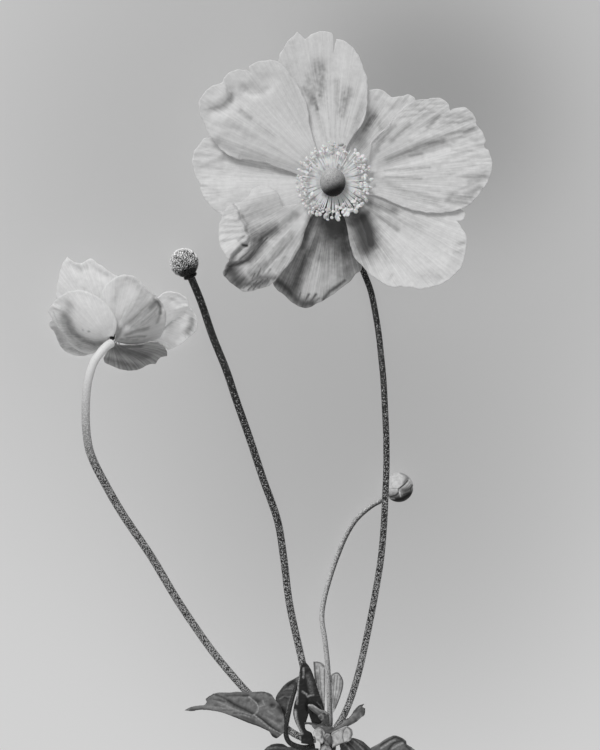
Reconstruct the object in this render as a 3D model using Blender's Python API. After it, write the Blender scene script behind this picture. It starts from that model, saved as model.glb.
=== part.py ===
"""A cut spray of Japanese anemone, lying on its back on a table.

One open bloom that looks up, a nodding half-open bloom, a woolly seed head and a round bud
stand on four stems, which leave one leafy joint on a short cut stalk.

All sizes are in millimetres, and MM turns them into metres. X runs across the spray,
Y along it from the cut end to the open bloom, and Z up from the table, which is z = 0.
"""
import math
import random

import bmesh
import bpy
from mathutils import Vector
from mathutils.geometry import delaunay_2d_cdt, interpolate_bezier

MM = 0.001

# Driving sizes
BLADE = 0.6
PETAL_GRID = 3.1
LEAF_GRID = 2.4
STEM_STEP = 4.0

# Open bloom: middle of its dish, the dish's own rise, and the three layers of tepals
BLOOM_AT = (15.75, 57.1, 0.0)
BLOOM_REACH = 38.0
DISH_RISE = 5.4
LAYER_Z = {1: 12.4, 2: 13.5, 3: 14.6}
LAYER_SPREAD = 0.012
CLAW_AT = 3.5
CLAW_WIDTH = 2.4

# Half-open bloom: where its stem meets it, how far it hangs over, and its bowl
BOWL_AT = (-39.3, 16.85, 17.95)
BOWL_TILT = math.radians(40.5)
BOWL_REACH = 19.0
BOWL_DEPTH = 11.5
BOWL_BASE = 1.3
BOWL_LAYER = 1.1
BOWL_SPREAD = 0.03
BOWL_CLAW_AT = 3.5

# Outlines of the open bloom's tepals, seen from above and measured from its middle.
# layer 1 lies lowest; turn is the way the claw points, in degrees from +X.
TEPALS = {
    "tepal_top": dict(layer=2, turn=94, outline=[
        (-5, 7), (-8, 11.5), (-11, 17), (-13, 23), (-13.8, 28), (-13.3, 31.5), (-11.7, 34),
        (-8.9, 37.2), (-7.1, 35.3), (-4.1, 37.2), (-0.3, 36.7), (0.1, 32.5), (0.8, 35.4), (2.6, 35),
        (5.1, 33), (7.4, 29), (8.6, 24), (8.4, 17.9), (7.2, 14), (4.1, 9.8)]),
    "tepal_top_right": dict(layer=1, turn=54, outline=[
        (2.6, 8.3), (4.6, 14), (6.5, 20), (8.7, 22.5), (12.8, 22.4), (15.3, 21), (18.9, 21.6),
        (20.7, 20), (18.5, 15), (14, 9.5), (8.4, 5)]),
    "tepal_right": dict(layer=3, turn=6, outline=[
        (8.9, 2.6), (8.9, 8.4), (12.8, 12.8), (17.9, 18.4), (23, 20.4), (27.6, 20.2), (29, 17.6),
        (32.7, 18.2), (35.5, 14.9), (37.9, 10.3), (37.7, 8.5), (39.6, 5.2), (39.4, 2.6),
        (38.3, -0.4), (34.2, -5.5), (29.6, -7.6), (23, -7.8), (15.8, -5.8), (9.5, -3)]),
    "tepal_low_right": dict(layer=2, turn=-46, outline=[
        (2.6, -8.2), (4.1, -14.7), (6.9, -20.9), (10.7, -24.4), (14.8, -26.5), (19.9, -26.6),
        (25, -26.4), (29.6, -23.9), (32.4, -20.3), (33.2, -15.2), (31.9, -11.4), (30.9, -10.1),
        (32.7, -8.6), (31, -6.5), (24, -5.4), (14, -4), (7, -3)]),
    "tepal_bottom": dict(layer=1, turn=-91, outline=[
        (-4, -6.5), (-7, -11), (-11, -17), (-14.5, -23), (-15, -25.4), (-11.7, -28.8),
        (-7.6, -31.6), (-3.6, -30.3), (1.5, -27), (6.9, -22.1), (7.6, -18), (6.8, -13), (4, -7.5)]),
    "tepal_low_left": dict(layer=3, turn=-139, outline=[
        (-7.6, -5.3), (-12.7, -6.3), (-13.8, -3), (-17.8, -1), (-21.4, -4), (-25.2, -5.8),
        (-28, -9.9), (-28.6, -13.7), (-26, -19.8), (-27.3, -22.6), (-24.5, -26.2), (-21.9, -27.7),
        (-16.3, -26.2), (-12.7, -22.9), (-8.1, -16.3), (-5.9, -9.6)]),
    "tepal_left": dict(layer=1, turn=179, outline=[
        (-6.5, 2.2), (-12, 6), (-20, 10), (-27, 11.5), (-32.6, 10.3), (-35.1, 4.7), (-33.1, -1),
        (-30.6, -6.1), (-27.6, -8.4), (-22, -7.4), (-15, -5.6), (-7, -2.6)]),
    "tepal_top_left": dict(layer=3, turn=141, outline=[
        (-4.3, 8.5), (-6, 14.9), (-7.6, 21.5), (-11.7, 27.9), (-15.8, 30.2), (-20.9, 28.4),
        (-20.8, 27), (-25.5, 27.1), (-27.8, 24.3), (-32.1, 22), (-33.4, 17.9), (-31.6, 13.3),
        (-27, 7), (-20.9, 5.1), (-14.3, 3.6), (-8.1, 1.5)]),
}

# Folds of those tepals: from point to point, how wide, and how far up (+) or down (-)
FOLDS = {
    "tepal_top": [(-5, 14, -3, 29, 3.0, -0.8), (4, 12, 4, 28, 2.5, 0.4)],
    "tepal_top_right": [(8, 14, 12, 20, 2.5, -0.8)],
    "tepal_right": [
        (12, 3, 28, 8.5, 2.0, -0.9), (9, 8, 13, 13.5, 1.8, 1.2), (34, -6, 38, 0, 2.0, -0.4)],
    "tepal_low_right": [(8, -10, 12, -22, 3.0, -0.6), (28, -22, 33, -12, 2.0, 0.5)],
    "tepal_bottom": [(-4, -14, -5, -30, 3.5, 1.5)],
    "tepal_low_left": [
        (-14, -4, -24, -7, 2.0, 2.4), (-12, -10, -22, -11, 2.2, -1.1),
        (-25.6, -8, -28, -17, 1.8, 2.0), (-12, -13, -23, -16, 1.6, 1.2),
        (-11, -16, -25, -21, 1.6, -1.2), (-15, -21, -25, -24.5, 1.5, 1.3)],
    "tepal_left": [(-12, 2, -32, 3, 3.0, -0.8)],
    "tepal_top_left": [
        (-24, 20, -30, 17, 2.5, -0.8), (-16, 25, -22, 22, 2.0, -0.6), (-8, 6, -28, 18, 3.0, 0.5)],
}
BOTTOM_DROOP = (9.0, 0.022, 0.11)

# The half-open bloom's tepals, seen from above and measured from the stem's end.
# layer 0 is the outermost; turn is about the bloom's own axis.
BOWL_TEPALS = {
    "half_tepal_left": dict(layer=0, turn=143, flare=(8, 0.0), outline=[
        (1.1, 5.4), (-0.3, 8.4), (-3, 11.1), (-6, 12.7), (-8.7, 13.2), (-11.7, 12.5), (-14.1, 10.6),
        (-16, 8.7), (-15.9, 7.4), (-12.8, 3), (-11.1, 0.5), (-9.2, -1.4), (-7.3, -2.3), (-4.1, -2.4),
        (-2.2, -1.6)]),
    "half_tepal_right": dict(layer=1, turn=48, flare=(8, 0.0), outline=[
        (-1, 5), (-3, 10.4), (-1.9, 13.8), (0.3, 16), (2.4, 16.9), (4.9, 16.8), (7, 15.5), (9.2, 13),
        (11.1, 11.4), (12.5, 9.5), (13.3, 7), (13, 4.3), (11.9, 1.6), (8.9, 0.3), (4.9, -0.2)]),
    "half_tepal_back": dict(layer=2, turn=98, flare=(8, 0.0), outline=[
        (-5, 6.5), (-10, 9.5), (-14.1, 11.4), (-13.3, 16.3), (-13, 18.4), (-11.3, 21.7), (-10, 20.3),
        (-8.2, 19.9), (-6.8, 20.3), (-5.3, 21.1), (-3.5, 19.8), (-0.3, 17.6), (3, 15), (3, 9), (1, 6.5)]),
    "half_tepal_far_right": dict(layer=2, turn=4, flare=(13, 0.11), outline=[
        (5, 6), (10, 10), (12.5, 12.5), (14.1, 12.9), (16.3, 12.5), (18.2, 11.4), (19, 9.2),
        (20.7, 7), (21.1, 5.4), (20.9, 3.5), (19.2, 1.6), (16.3, -0.5), (13.7, -1.6), (8, 0.8)]),
    "half_tepal_low": dict(layer=0, turn=-68, flare=(8, 0.025), outline=[
        (2.6, -1.7), (8.5, -1.2), (13.4, -1.6), (13.5, -3), (11.6, -3.8), (8.9, -5.4), (6.8, -6.4),
        (4.3, -6.8), (1.9, -6.4), (-0.3, -5.4), (-2.0, -4.4)]),
    "half_tepal_far_left": dict(layer=1, turn=202, flare=(12, 0.06), outline=[
        (-5, 3.5), (-10, 5), (-15.2, 5.8), (-15.9, 4.5), (-14.7, 2.7), (-13.6, 0), (-12.6, -1.5),
        (-11.1, -2.4), (-9.2, -3), (-6.5, -2.9), (-3.8, -1.6)]),
}

# Stems: x, y and z of their centre lines, thickest radius at the foot
OPEN_STEM = [
    (16.5, -79.7, 2.8), (17.8, -77.8, 2.7), (19.2, -75, 2.9), (21, -70, 3.5), (23, -62.5, 4.5),
    (25.2, -52, 5.9), (26.5, -45, 6.6), (27.7, -37.5, 7.3), (28.4, -30, 7.8), (28.8, -22.5, 7.9),
    (29.1, -15, 7.3), (29.1, -7.5, 6.2), (28.8, 0, 5), (28.4, 7.5, 3.8), (27.8, 13.8, 2.8),
    (27.1, 20, 1.9), (25.8, 27.5, 1.1), (24.8, 31.2, 0.9), (23.2, 35.2, 0.8), (21.5, 39.8, 0.8),
    (19.8, 44.2, 1.2), (18.2, 48.5, 2.2), (17, 51.8, 3.8), (16.1, 54.8, 6.2), (15.8, 56.5, 8.3),
    (15.75, 57, 10)]
SEED_STEM = [
    (13.4, -79.5, 1.55), (12.6, -77.8, 1.6), (11.5, -75.5, 1.6), (9.5, -69.5, 1.7), (7.8, -62, 1.7),
    (4.9, -48.8, 1.8), (3.4, -37, 1.8), (1.8, -27.5, 1.8), (-1.7, -17.5, 1.8), (-5, -7.5, 1.8),
    (-8.5, 2.5, 1.9), (-11, 10, 2.1), (-14.4, 18.5, 2.4), (-17.2, 26.8, 2.9), (-19.7, 33, 3.6)]
HALF_STEM = [
    (11.35, -82.6, 2.65), (9.2, -82.6, 2.4), (5, -80.5, 2.6), (0, -76.2, 3), (-6.2, -70.2, 3.5),
    (-12.8, -62.5, 4.2), (-17.2, -56.6, 5), (-23.5, -47.1, 6.4), (-29.8, -36.5, 8.2),
    (-36.8, -26, 10.7), (-41.8, -17.2, 12.9), (-44.4, -11.8, 14.3), (-45.5, -7.5, 15.4),
    (-45.9, -1.5, 16.9), (-45.5, 5.8, 18.9), (-44.1, 11.2, 20.2), (-42.4, 14, 20.4),
    (-40.7, 15.9, 19.7), (-39.5, 16.65, 18.4)]
BUD_STEM = [
    (15, -79.3, 4.2), (15.1, -77.6, 4.7), (14.8, -72.5, 5.4), (14.5, -65, 5.4), (13.8, -58, 4.6),
    (13, -52.3, 3.4), (13.6, -47.4, 2.4), (15.2, -41.6, 1.5), (16.9, -36.7, 1.1), (19.2, -31.3, 1),
    (21.8, -27.3, 1.2), (25.3, -24.2, 1.8), (27.6, -22.9, 2.4), (29.3, -21.7, 3)]
LEAF_RIB = [
    (6.8, -68.2, 6.1), (5.3, -73.4, 6.5), (4.4, -77.2, 6.5), (3.9, -80.4, 5.8), (4.8, -83.2, 4.6),
    (8, -84.6, 3.7), (11.2, -84.3, 3.3)]

# Balls: centres and radii
SEED_AT = (-21.5, 36.9, 4.6)
SEED_RADIUS = 3.65
BUD_AT = (32.2, -19.3, 4.1)
BUD_RADIUS = 3.6
PISTIL_RADIUS = 3.25

# Leaves, seen from above. rise: height at the foot and at the tip; arch: how far the middle
# bows up; fold: how much the sides stand up (+) or hang (-), per mm from the foot-to-tip line.
LEAVES = {
    "leaf_left": dict(
        foot=(3.2, -79), tip=(-21.4, -75.3), rise=(6.2, 3.0), arch=0.8, fold=-0.1, outline=[
        (3.3, -75.5), (1.4, -71.8), (0, -70.7), (-5.8, -70.6), (-10, -70.8), (-13.2, -70.9),
        (-15.2, -71.5), (-16.1, -72.8), (-16.4, -73.8), (-18.5, -74.2), (-21.4, -75.3),
        (-18.5, -75.3), (-14.5, -75.5), (-11, -76.2), (-7.2, -77.5), (-3.5, -78.9), (-0.5, -80.1),
        (2.6, -81.6), (3.1, -79)]),
    "leaf_left_upper": dict(foot=(4.2, -79), tip=(7, -66.7), rise=(4.5, 4.7), arch=0.0, fold=0.0, outline=[
        (3.4, -79.4), (2.4, -76.1), (1.2, -72.8), (1.6, -71.5), (3.1, -69.6), (4.8, -68.4), (7, -66.7),
        (7.2, -68), (6.2, -70.7), (5.4, -74.3), (5, -77.2), (4.6, -79.6)]),
    "leaf_upright": dict(foot=(12, -81.6), tip=(8.4, -62.6), rise=(5.2, 6.3), arch=0.8, fold=0.22, outline=[
        (11.4, -81.9), (9.2, -80.6), (7.7, -78.5), (7.1, -74.5), (7, -70.2), (7.2, -67.2), (7.6, -64.5),
        (8.4, -62.6), (9.5, -63.8), (10.4, -65.4), (11.4, -68.2), (12.4, -71.1), (13.3, -74.2),
        (13.3, -76.5), (12.6, -79), (12.7, -81.2)]),
    "bract_left": dict(foot=(13.2, -79.3), tip=(12, -62.9), rise=(3.8, 3.9), arch=0.4, fold=0.05, outline=[
        (12.8, -79.2), (12.5, -76.5), (12, -72.5), (11.5, -69.5), (11.1, -66.2), (10.9, -63.1),
        (12.1, -63.1), (13.2, -63.6), (13.7, -64.5), (13.8, -67.5), (13.8, -71.2), (13.7, -75.5),
        (13.6, -79.2)]),
    "bract_right": dict(
        foot=(16.6, -78.4), tip=(16.9, -65.9), rise=(4.8, 3.7), arch=-0.3, fold=0.0, outline=[
        (16.3, -78.4), (16, -74), (15.6, -70), (15.7, -66.9), (16.9, -65.9), (18, -67.2), (18.3, -69.2),
        (17.9, -71.5), (17.2, -73.8), (16.9, -78.4)]),
    "leaf_small": dict(foot=(17.4, -80.6), tip=(23.6, -74.2), rise=(4.7, 4.8), arch=0.3, fold=0.1, outline=[
        (17.1, -80.3), (18.5, -79), (20, -77.2), (21.9, -74.9), (23.4, -73.5), (23.2, -74.4),
        (23.8, -75.2), (23.6, -76.2), (22.2, -77.4), (20.5, -78.7), (19, -79.8), (17.7, -80.9)]),
    "leaf_curled": dict(foot=(14.3, -81), tip=(9.6, -73.7), rise=(6.6, 8.4), arch=1.2, fold=-0.15, outline=[
        (13.9, -81), (13.8, -79.2), (12.8, -78), (11.8, -76.5), (10.5, -75.2), (9.4, -74), (10.1, -73.4),
        (11.5, -74.1), (13, -74.9), (14.2, -75.8), (14.7, -77), (14.6, -79), (14.7, -81)]),
    "lobe_left": dict(foot=(13.4, -81), tip=(11, -81), rise=(7.1, 6.9), arch=0.3, fold=0.0, outline=[
        (12.9, -82.6), (12, -83.4), (11, -82.2), (10.9, -80.6), (11.6, -79.5), (12.7, -79.8), (13, -81)]),
    "lobe_middle": dict(foot=(14.4, -83.8), tip=(14.4, -81), rise=(7.4, 7.5), arch=0.2, fold=0.0, outline=[
        (14.5, -84), (13.5, -83.2), (13.2, -82), (13.9, -81), (15, -81.1), (15.5, -82.2), (15.2, -83.5)]),
    "lobe_right": dict(foot=(15.8, -82.5), tip=(20.5, -81), rise=(6.4, 6.1), arch=0.5, fold=0.0, outline=[
        (15.8, -83.5), (15.7, -81.5), (16.4, -79.9), (17.8, -79.4), (19.5, -79.6), (20.5, -81),
        (20.1, -82.8), (18.8, -83.9), (17, -84.2)]),
    "lobe_low": dict(foot=(14.6, -84), tip=(14, -87), rise=(6.3, 4.6), arch=0.2, fold=0.0, outline=[
        (14, -83.9), (12.6, -84.6), (12.2, -85.8), (13.2, -87), (14.8, -86.8), (15.5, -85.4),
        (15.2, -84.2)]),
    "leaf_right_low": dict(
        foot=(17.9, -83.6), tip=(26, -87), rise=(4.3, 3.6), arch=0.6, fold=-0.1, outline=[
        (18, -83), (20.8, -82.2), (22.7, -82.8), (24.2, -83.9), (25.4, -85.2), (26, -87), (24.8, -88.2),
        (22.2, -87.5), (19.8, -85.8), (17.9, -84.3)]),
    "leaf_right": dict(
        foot=(17.4, -84.6), tip=(37, -86.3), rise=(2.3, 1.6), arch=0.3, fold=-0.04, outline=[
        (17.7, -84.1), (21.5, -85), (25.7, -84.2), (28, -82.8), (30.3, -81.8), (32.2, -81.9),
        (33.5, -82.8), (34.2, -83.9), (35.8, -84.8), (37, -86.5), (36.2, -88.5), (33.5, -89.8),
        (30, -89.5), (26.5, -88), (22, -86.4), (17.5, -85.3)]),
    "leaf_bottom_left": dict(
        foot=(12, -85.2), tip=(-2.2, -87), rise=(2.3, 1.4), arch=0.3, fold=-0.03, outline=[
        (12.2, -84.9), (9, -84.5), (6.8, -84), (4.6, -84.5), (3.2, -83.8), (1.5, -83.7), (0, -84.1),
        (-1.4, -85.2), (-2.2, -87), (-1.5, -89), (1, -90.2), (4.5, -89.6), (7.5, -88),
        (10.2, -86.2), (12.1, -85.5)]),
}


def clear_scene():
    for item in list(bpy.data.objects):
        bpy.data.objects.remove(item, do_unlink=True)


def grey_material(name, tone, roughness):
    """A matt plant skin: one grey tone, no metal."""
    material = bpy.data.materials.new(name)
    material.use_nodes = True
    shader = material.node_tree.nodes["Principled BSDF"]
    shader.inputs["Base Color"].default_value = (tone, tone, tone, 1)
    shader.inputs["Roughness"].default_value = roughness
    shader.inputs["Metallic"].default_value = 0.0
    return material


def add_object(name, body, material, parent=None):
    """A bmesh in millimetres becomes a named object in metres."""
    bmesh.ops.scale(body, vec=(MM, MM, MM), verts=body.verts)
    mesh = bpy.data.meshes.new(name)
    body.to_mesh(mesh)
    body.free()
    mesh.materials.append(material)
    item = bpy.data.objects.new(name, mesh)
    bpy.context.scene.collection.objects.link(item)
    item.parent = parent
    return item


def add_empty(name, at, tilt=0.0):
    empty = bpy.data.objects.new(name, None)
    empty.location = Vector(at) * MM
    empty.rotation_euler = (tilt, 0.0, 0.0)
    bpy.context.scene.collection.objects.link(empty)
    return empty


def inside(point, outline):
    """Whether a plan point lies in a closed outline."""
    x, y = point
    odd = False
    for (ax, ay), (bx, by) in zip(outline, outline[1:] + outline[:1]):
        if (ay > y) != (by > y) and x < ax + (y - ay) * (bx - ax) / (by - ay):
            odd = not odd
    return odd


def distance_to_line(point, start, end):
    """How far a plan point lies from a straight piece."""
    start, end, point = Vector(start), Vector(end), Vector(point)
    along = end - start
    share = max(0.0, min(1.0, (point - start).dot(along) / max(along.length_squared, 1e-9)))
    return (point - start - along * share).length


def sheet(outline, grid):
    """A flat triangulated sheet: the outline's points and a staggered grid of points within."""
    edge_pairs = list(zip(outline, outline[1:] + outline[:1]))
    xs = [x for x, y in outline]
    ys = [y for x, y in outline]
    points = [Vector(point) for point in outline]
    row = 0
    y = min(ys) + grid * 0.4
    while y < max(ys):
        x = min(xs) + grid * (0.3 if row % 2 else 0.8)
        while x < max(xs):
            if inside((x, y), outline):
                if min(distance_to_line((x, y), a, b) for a, b in edge_pairs) > grid * 0.4:
                    points.append(Vector((x, y)))
            x += grid
        row += 1
        y += grid * 0.866
    border = [(index, (index + 1) % len(outline)) for index in range(len(outline))]
    spots, _, faces, _, _, _ = delaunay_2d_cdt(points, border, [], 1, 1e-5)
    body = bmesh.new()
    verts = [body.verts.new((spot.x, spot.y, 0.0)) for spot in spots]
    for face in faces:
        body.faces.new([verts[index] for index in face])
    loose = [vert for vert in body.verts if not vert.link_faces]
    bmesh.ops.delete(body, geom=loose, context="VERTS")
    body.normal_update()
    for face in body.faces:
        if face.normal.z < 0:
            face.normal_flip()
    return body


def thicken(item):
    """Turn a sheet into a blade; its two faces share one pattern of triangles."""
    wall = item.modifiers.new("Blade", "SOLIDIFY")
    wall.thickness = BLADE * MM
    wall.offset = 0.0
    wall.use_even_offset = False
    return item


def fold_height(point, folds):
    """Sum of the soft creases and ridges that pass near a plan point."""
    height = 0.0
    for x0, y0, x1, y1, width, rise in folds:
        away = distance_to_line(point, (x0, y0), (x1, y1))
        height += rise * math.exp(-(away / width) ** 2)
    return height


def claw(turn, at, width):
    """The two corners of a tepal's narrow foot, right one first."""
    out = Vector((math.cos(math.radians(turn)), math.sin(math.radians(turn))))
    right = Vector((out.y, -out.x))
    return tuple(out * at + right * width / 2), tuple(out * at - right * width / 2)


def with_claw(outline, turn, at):
    """Close a tepal's outline at its foot, whichever way round its points run."""
    right, left = claw(turn, at, CLAW_WIDTH)
    nearer_right = (Vector(outline[0]) - Vector(right)).length < (Vector(outline[0]) - Vector(left)).length
    return [right] + outline + [left] if nearer_right else [left] + outline + [right]


def dish_height(point, layer):
    """The open bloom's common dish, with its layers drawing apart towards the rim."""
    reach = math.hypot(*point)
    height = LAYER_Z[layer] + DISH_RISE * (reach / BLOOM_REACH) ** 1.6
    return height + (layer - 1) * LAYER_SPREAD * reach


def open_tepals(parent, material):
    for name, tepal in TEPALS.items():
        body = sheet(with_claw(tepal["outline"], tepal["turn"], CLAW_AT), PETAL_GRID)
        for vert in body.verts:
            point = (vert.co.x, vert.co.y)
            vert.co.z = dish_height(point, tepal["layer"]) + fold_height(point, FOLDS[name])
            if name == "tepal_bottom":
                start, back, side = BOTTOM_DROOP
                beyond = max(0.0, math.hypot(*point) - start)
                vert.co.z -= back * beyond ** 1.8 + side * max(0.0, abs(vert.co.x + 3) - 2) ** 1.6
        thicken(add_object(name, body, material, parent))


def bowl_depth(reach, layer, flare):
    """How deep a tepal of the half-open bloom lies at a distance from the bloom's axis."""
    start, outward = flare
    depth = BOWL_BASE + BOWL_DEPTH * (reach / BOWL_REACH) ** 1.5
    return depth + layer * (BOWL_LAYER + BOWL_SPREAD * reach) - outward * max(0.0, reach - start) ** 2


def onto_bowl(point, layer, flare):
    """The place on the tilted bowl that is seen at a plan point, in the bowl's own axes."""
    x, y = point
    across = y / math.cos(BOWL_TILT)
    depth = 0.0
    for _ in range(80):
        reach = math.hypot(x, across)
        depth = bowl_depth(reach, layer, flare)
        across += 0.5 * ((y - math.sin(BOWL_TILT) * depth) / math.cos(BOWL_TILT) - across)
    return x, across


def half_open_tepals(parent, material):
    for name, tepal in BOWL_TEPALS.items():
        layer, flare = tepal["layer"], tepal["flare"]
        outline = [onto_bowl(point, layer, flare) for point in tepal["outline"]]
        body = sheet(with_claw(outline, tepal["turn"], BOWL_CLAW_AT), PETAL_GRID)
        for vert in body.verts:
            reach = math.hypot(vert.co.x, vert.co.y)
            vert.co.z = -bowl_depth(reach, layer, flare)
        thicken(add_object(name, body, material, parent))


def leaf(name, shape, material):
    foot, tip = Vector(shape["foot"]), Vector(shape["tip"])
    along = tip - foot
    body = sheet(shape["outline"], LEAF_GRID)
    for vert in body.verts:
        point = Vector((vert.co.x, vert.co.y))
        share = (point - foot).dot(along) / along.length_squared
        side = abs((point - foot).cross(along.normalized()))
        low, high = shape["rise"]
        level = low + (high - low) * share + shape["arch"] * math.sin(math.pi * max(0.0, min(1.0, share)))
        vert.co.z = level + shape["fold"] * side
    return thicken(add_object(name, body, material))


def frames_along(points, first_side):
    """At each point of a path: two directions square to it, without twist."""
    side = Vector(first_side)
    result = []
    for index, point in enumerate(points):
        before = points[max(index - 1, 0)]
        after = points[min(index + 1, len(points) - 1)]
        along = (after - before).normalized()
        side = (side - along * side.dot(along)).normalized()
        result.append((side, along.cross(side)))
    return result


def swept(points, radii, sides, first_side=(0, 0, 1), relief=None):
    """A closed body of round sections along a path; relief moves points in or out."""
    body = bmesh.new()
    points = [Vector(point) for point in points]
    rings = []
    for point, radius, (side, other) in zip(points, radii, frames_along(points, first_side)):
        ring = []
        for step in range(sides):
            angle = 2 * math.pi * (step + 0.5) / sides
            out = side * math.cos(angle) + other * math.sin(angle)
            spot = point + out * radius
            ring.append(body.verts.new(spot + out * relief(spot, angle) if relief else spot))
        rings.append(ring)
    for ring, after in zip(rings, rings[1:]):
        for step in range(sides):
            following = (step + 1) % sides
            body.faces.new((ring[step], ring[following], after[following], after[step]))
    body.faces.new(reversed(rings[0]))
    body.faces.new(rings[-1])
    bmesh.ops.recalc_face_normals(body, faces=body.faces)
    return body


def smooth_route(route, step):
    """Points about a step apart on a smooth curve through a stem's own points."""
    spots = [Vector(spot) for spot in route]
    ahead = [2 * spots[0] - spots[1]] + spots + [2 * spots[-1] - spots[-2]]
    points = [spots[0]]
    for index in range(1, len(ahead) - 2):
        start, end = ahead[index], ahead[index + 1]
        handle_out = start + (end - ahead[index - 1]) / 6
        handle_in = end - (ahead[index + 2] - start) / 6
        count = max(1, round((end - start).length / step))
        points += interpolate_bezier(start, handle_out, handle_in, end, count + 1)[1:]
    return points


def stem(name, route, foot_radius, tip_radius, material, sides=8):
    points = smooth_route(route, STEM_STEP)
    last = len(points) - 1
    radii = [foot_radius + (tip_radius - foot_radius) * index / last for index in range(last + 1)]
    return add_object(name, swept(points, radii, sides), material)


def granules(count, height, width):
    """Relief of small round grains spread evenly over a ball: a function of direction."""
    turn = math.pi * (3 - math.sqrt(5))
    centres = []
    for index in range(count):
        level = 1 - 2 * (index + 0.5) / count
        ring = math.sqrt(1 - level * level)
        centres.append(Vector((ring * math.cos(turn * index), ring * math.sin(turn * index), level)))

    def relief(direction):
        nearest = max(direction.dot(centre) for centre in centres)
        away = math.acos(max(-1.0, min(1.0, nearest)))
        return height * max(0.0, 1 - (away / width) ** 2)
    return relief


def ball_profile(centre, radius, bottom, top, rows):
    """Heights and radii of a ball between two angles, measured from its lowest point."""
    result = []
    for row in range(rows + 1):
        angle = math.radians(bottom + (top - bottom) * row / rows)
        result.append((centre - radius * math.cos(angle), radius * math.sin(angle)))
    return result


def receptacle(name, parent, material, flip, base, ball_at):
    """The flower's middle: the pad that carries the tepals, a neck, and the granular ball."""
    profile = [(base, 1.6), (base + 0.5, 2.6), (base + 1.2, 3.0)]
    profile += [(ball_at - 3.1, 3.0), (ball_at - 2.9, 2.2)]
    profile += ball_profile(ball_at, PISTIL_RADIUS, 44, 176, 11)
    grain = granules(64, 0.22, 0.24)
    centre = Vector((0, 0, flip * ball_at))

    def relief(spot, angle):
        if flip * spot.z < ball_at - 2.7:
            return 0.0
        return grain((spot - centre).normalized())
    points = [(0, 0, flip * level) for level, radius in profile]
    radii = [radius for level, radius in profile]
    return add_object(name, swept(points, radii, 20, (1, 0, 0), relief), material, parent)


def stamen(direction, reach, start, end):
    """One filament that leaves the ring and carries its anther."""
    out = Vector((math.cos(direction), math.sin(direction), 0))
    root = out * 3.0 + Vector((0, 0, start))
    head = out * reach + Vector((0, 0, end))
    bend = out * (3.0 + (reach - 3.0) * 0.45) + Vector((0, 0, start + (end - start) * 0.8))
    tip = head + (head - bend).normalized() * 0.8
    points = [root, bend, head - (head - bend).normalized() * 0.25, head + (tip - head) * 0.3, tip]
    return swept(points, [0.24, 0.2, 0.2, 0.48, 0.2], 4, (0.3, 0.2, 1))


def stamen_ring(name, parent, material, flip, level, count, reaches, rises, seed):
    """All stamens of one flower, joined at their feet by a ring round the neck."""
    draw = random.Random(seed)
    ring = bmesh.new()
    sides = 20
    section = [(2.8, level - 0.3), (3.5, level - 0.3), (3.5, level + 0.35), (2.8, level + 0.35)]
    loops = []
    for step in range(sides):
        angle = 2 * math.pi * step / sides
        out = Vector((math.cos(angle), math.sin(angle), 0))
        loops.append([ring.verts.new(out * reach + Vector((0, 0, flip * z))) for reach, z in section])
    for loop, after in zip(loops, loops[1:] + loops[:1]):
        for corner in range(4):
            following = (corner + 1) % 4
            ring.faces.new((loop[corner], after[corner], after[following], loop[following]))
    bmesh.ops.recalc_face_normals(ring, faces=ring.faces)
    holder = add_object(name, ring, material, parent)
    group = bpy.data.collections.new(name + "_stamens")
    bpy.context.scene.collection.children.link(group)
    golden = math.pi * (3 - math.sqrt(5))
    for index in range(count):
        share = math.sqrt((index + 0.5) / count)
        reach = reaches[0] + (reaches[1] - reaches[0]) * share + draw.uniform(-0.3, 0.3)
        rise = level + rises[0] + (rises[1] - rises[0]) * share + draw.uniform(-0.25, 0.25)
        body = stamen(golden * index, reach, flip * level, flip * rise)
        item = add_object(f"{name}_{index}", body, material, parent)
        bpy.context.scene.collection.objects.unlink(item)
        group.objects.link(item)
    join = holder.modifiers.new("Join", "BOOLEAN")
    join.operation = "UNION"
    join.operand_type = "COLLECTION"
    join.collection = group
    join.solver = "EXACT"
    join.use_self = True
    bpy.context.view_layer.update()
    graph = bpy.context.evaluated_depsgraph_get()
    joined = bpy.data.meshes.new_from_object(holder.evaluated_get(graph))
    holder.modifiers.remove(join)
    holder.data = joined
    for item in list(group.objects):
        bpy.data.objects.remove(item, do_unlink=True)
    bpy.data.collections.remove(group)
    return holder


def seed_head(material):
    """The woolly ball of seeds with its neck and the collar left by the fallen flower."""
    foot = Vector(SEED_STEM[-1])
    way = (Vector(SEED_AT) - foot).normalized()
    centre = (Vector(SEED_AT) - foot).length
    profile = [(0.35, 1.1), (0.5, 1.6), (0.95, 1.6), (1.1, 1.0)]
    profile += ball_profile(centre, SEED_RADIUS, 24, 177, 13)
    grain = granules(110, 0.24, 0.19)

    def relief(spot, angle):
        if (spot - foot).dot(way) < 1.2:
            return 0.0
        return grain((spot - Vector(SEED_AT)).normalized()) - 0.12
    points = [foot + way * level for level, radius in profile]
    radii = [radius for level, radius in profile]
    return add_object("seed_head", swept(points, radii, 22, (0, 0, 1), relief), material)


def bud(material):
    """The closed bud: five tepals wrapped over each other, shown as turned grooves."""
    foot = Vector(BUD_STEM[-1])
    way = (Vector(BUD_AT) - foot).normalized()
    centre = (Vector(BUD_AT) - foot).length
    profile = [(0.3, 0.7)] + ball_profile(centre, BUD_RADIUS, 20, 176, 12)

    def relief(spot, angle):
        height = (spot - foot).dot(way) / (2 * BUD_RADIUS)
        lap = (angle / (2 * math.pi) * 5 + height * 0.9) % 1.0
        return 0.2 - 0.45 * math.exp(-(lap / 0.12) ** 2) - 0.2 * lap
    points = [foot + way * level for level, radius in profile]
    radii = [radius for level, radius in profile]
    return add_object("bud", swept(points, radii, 25, (0, 0, 1), relief), material)


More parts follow.
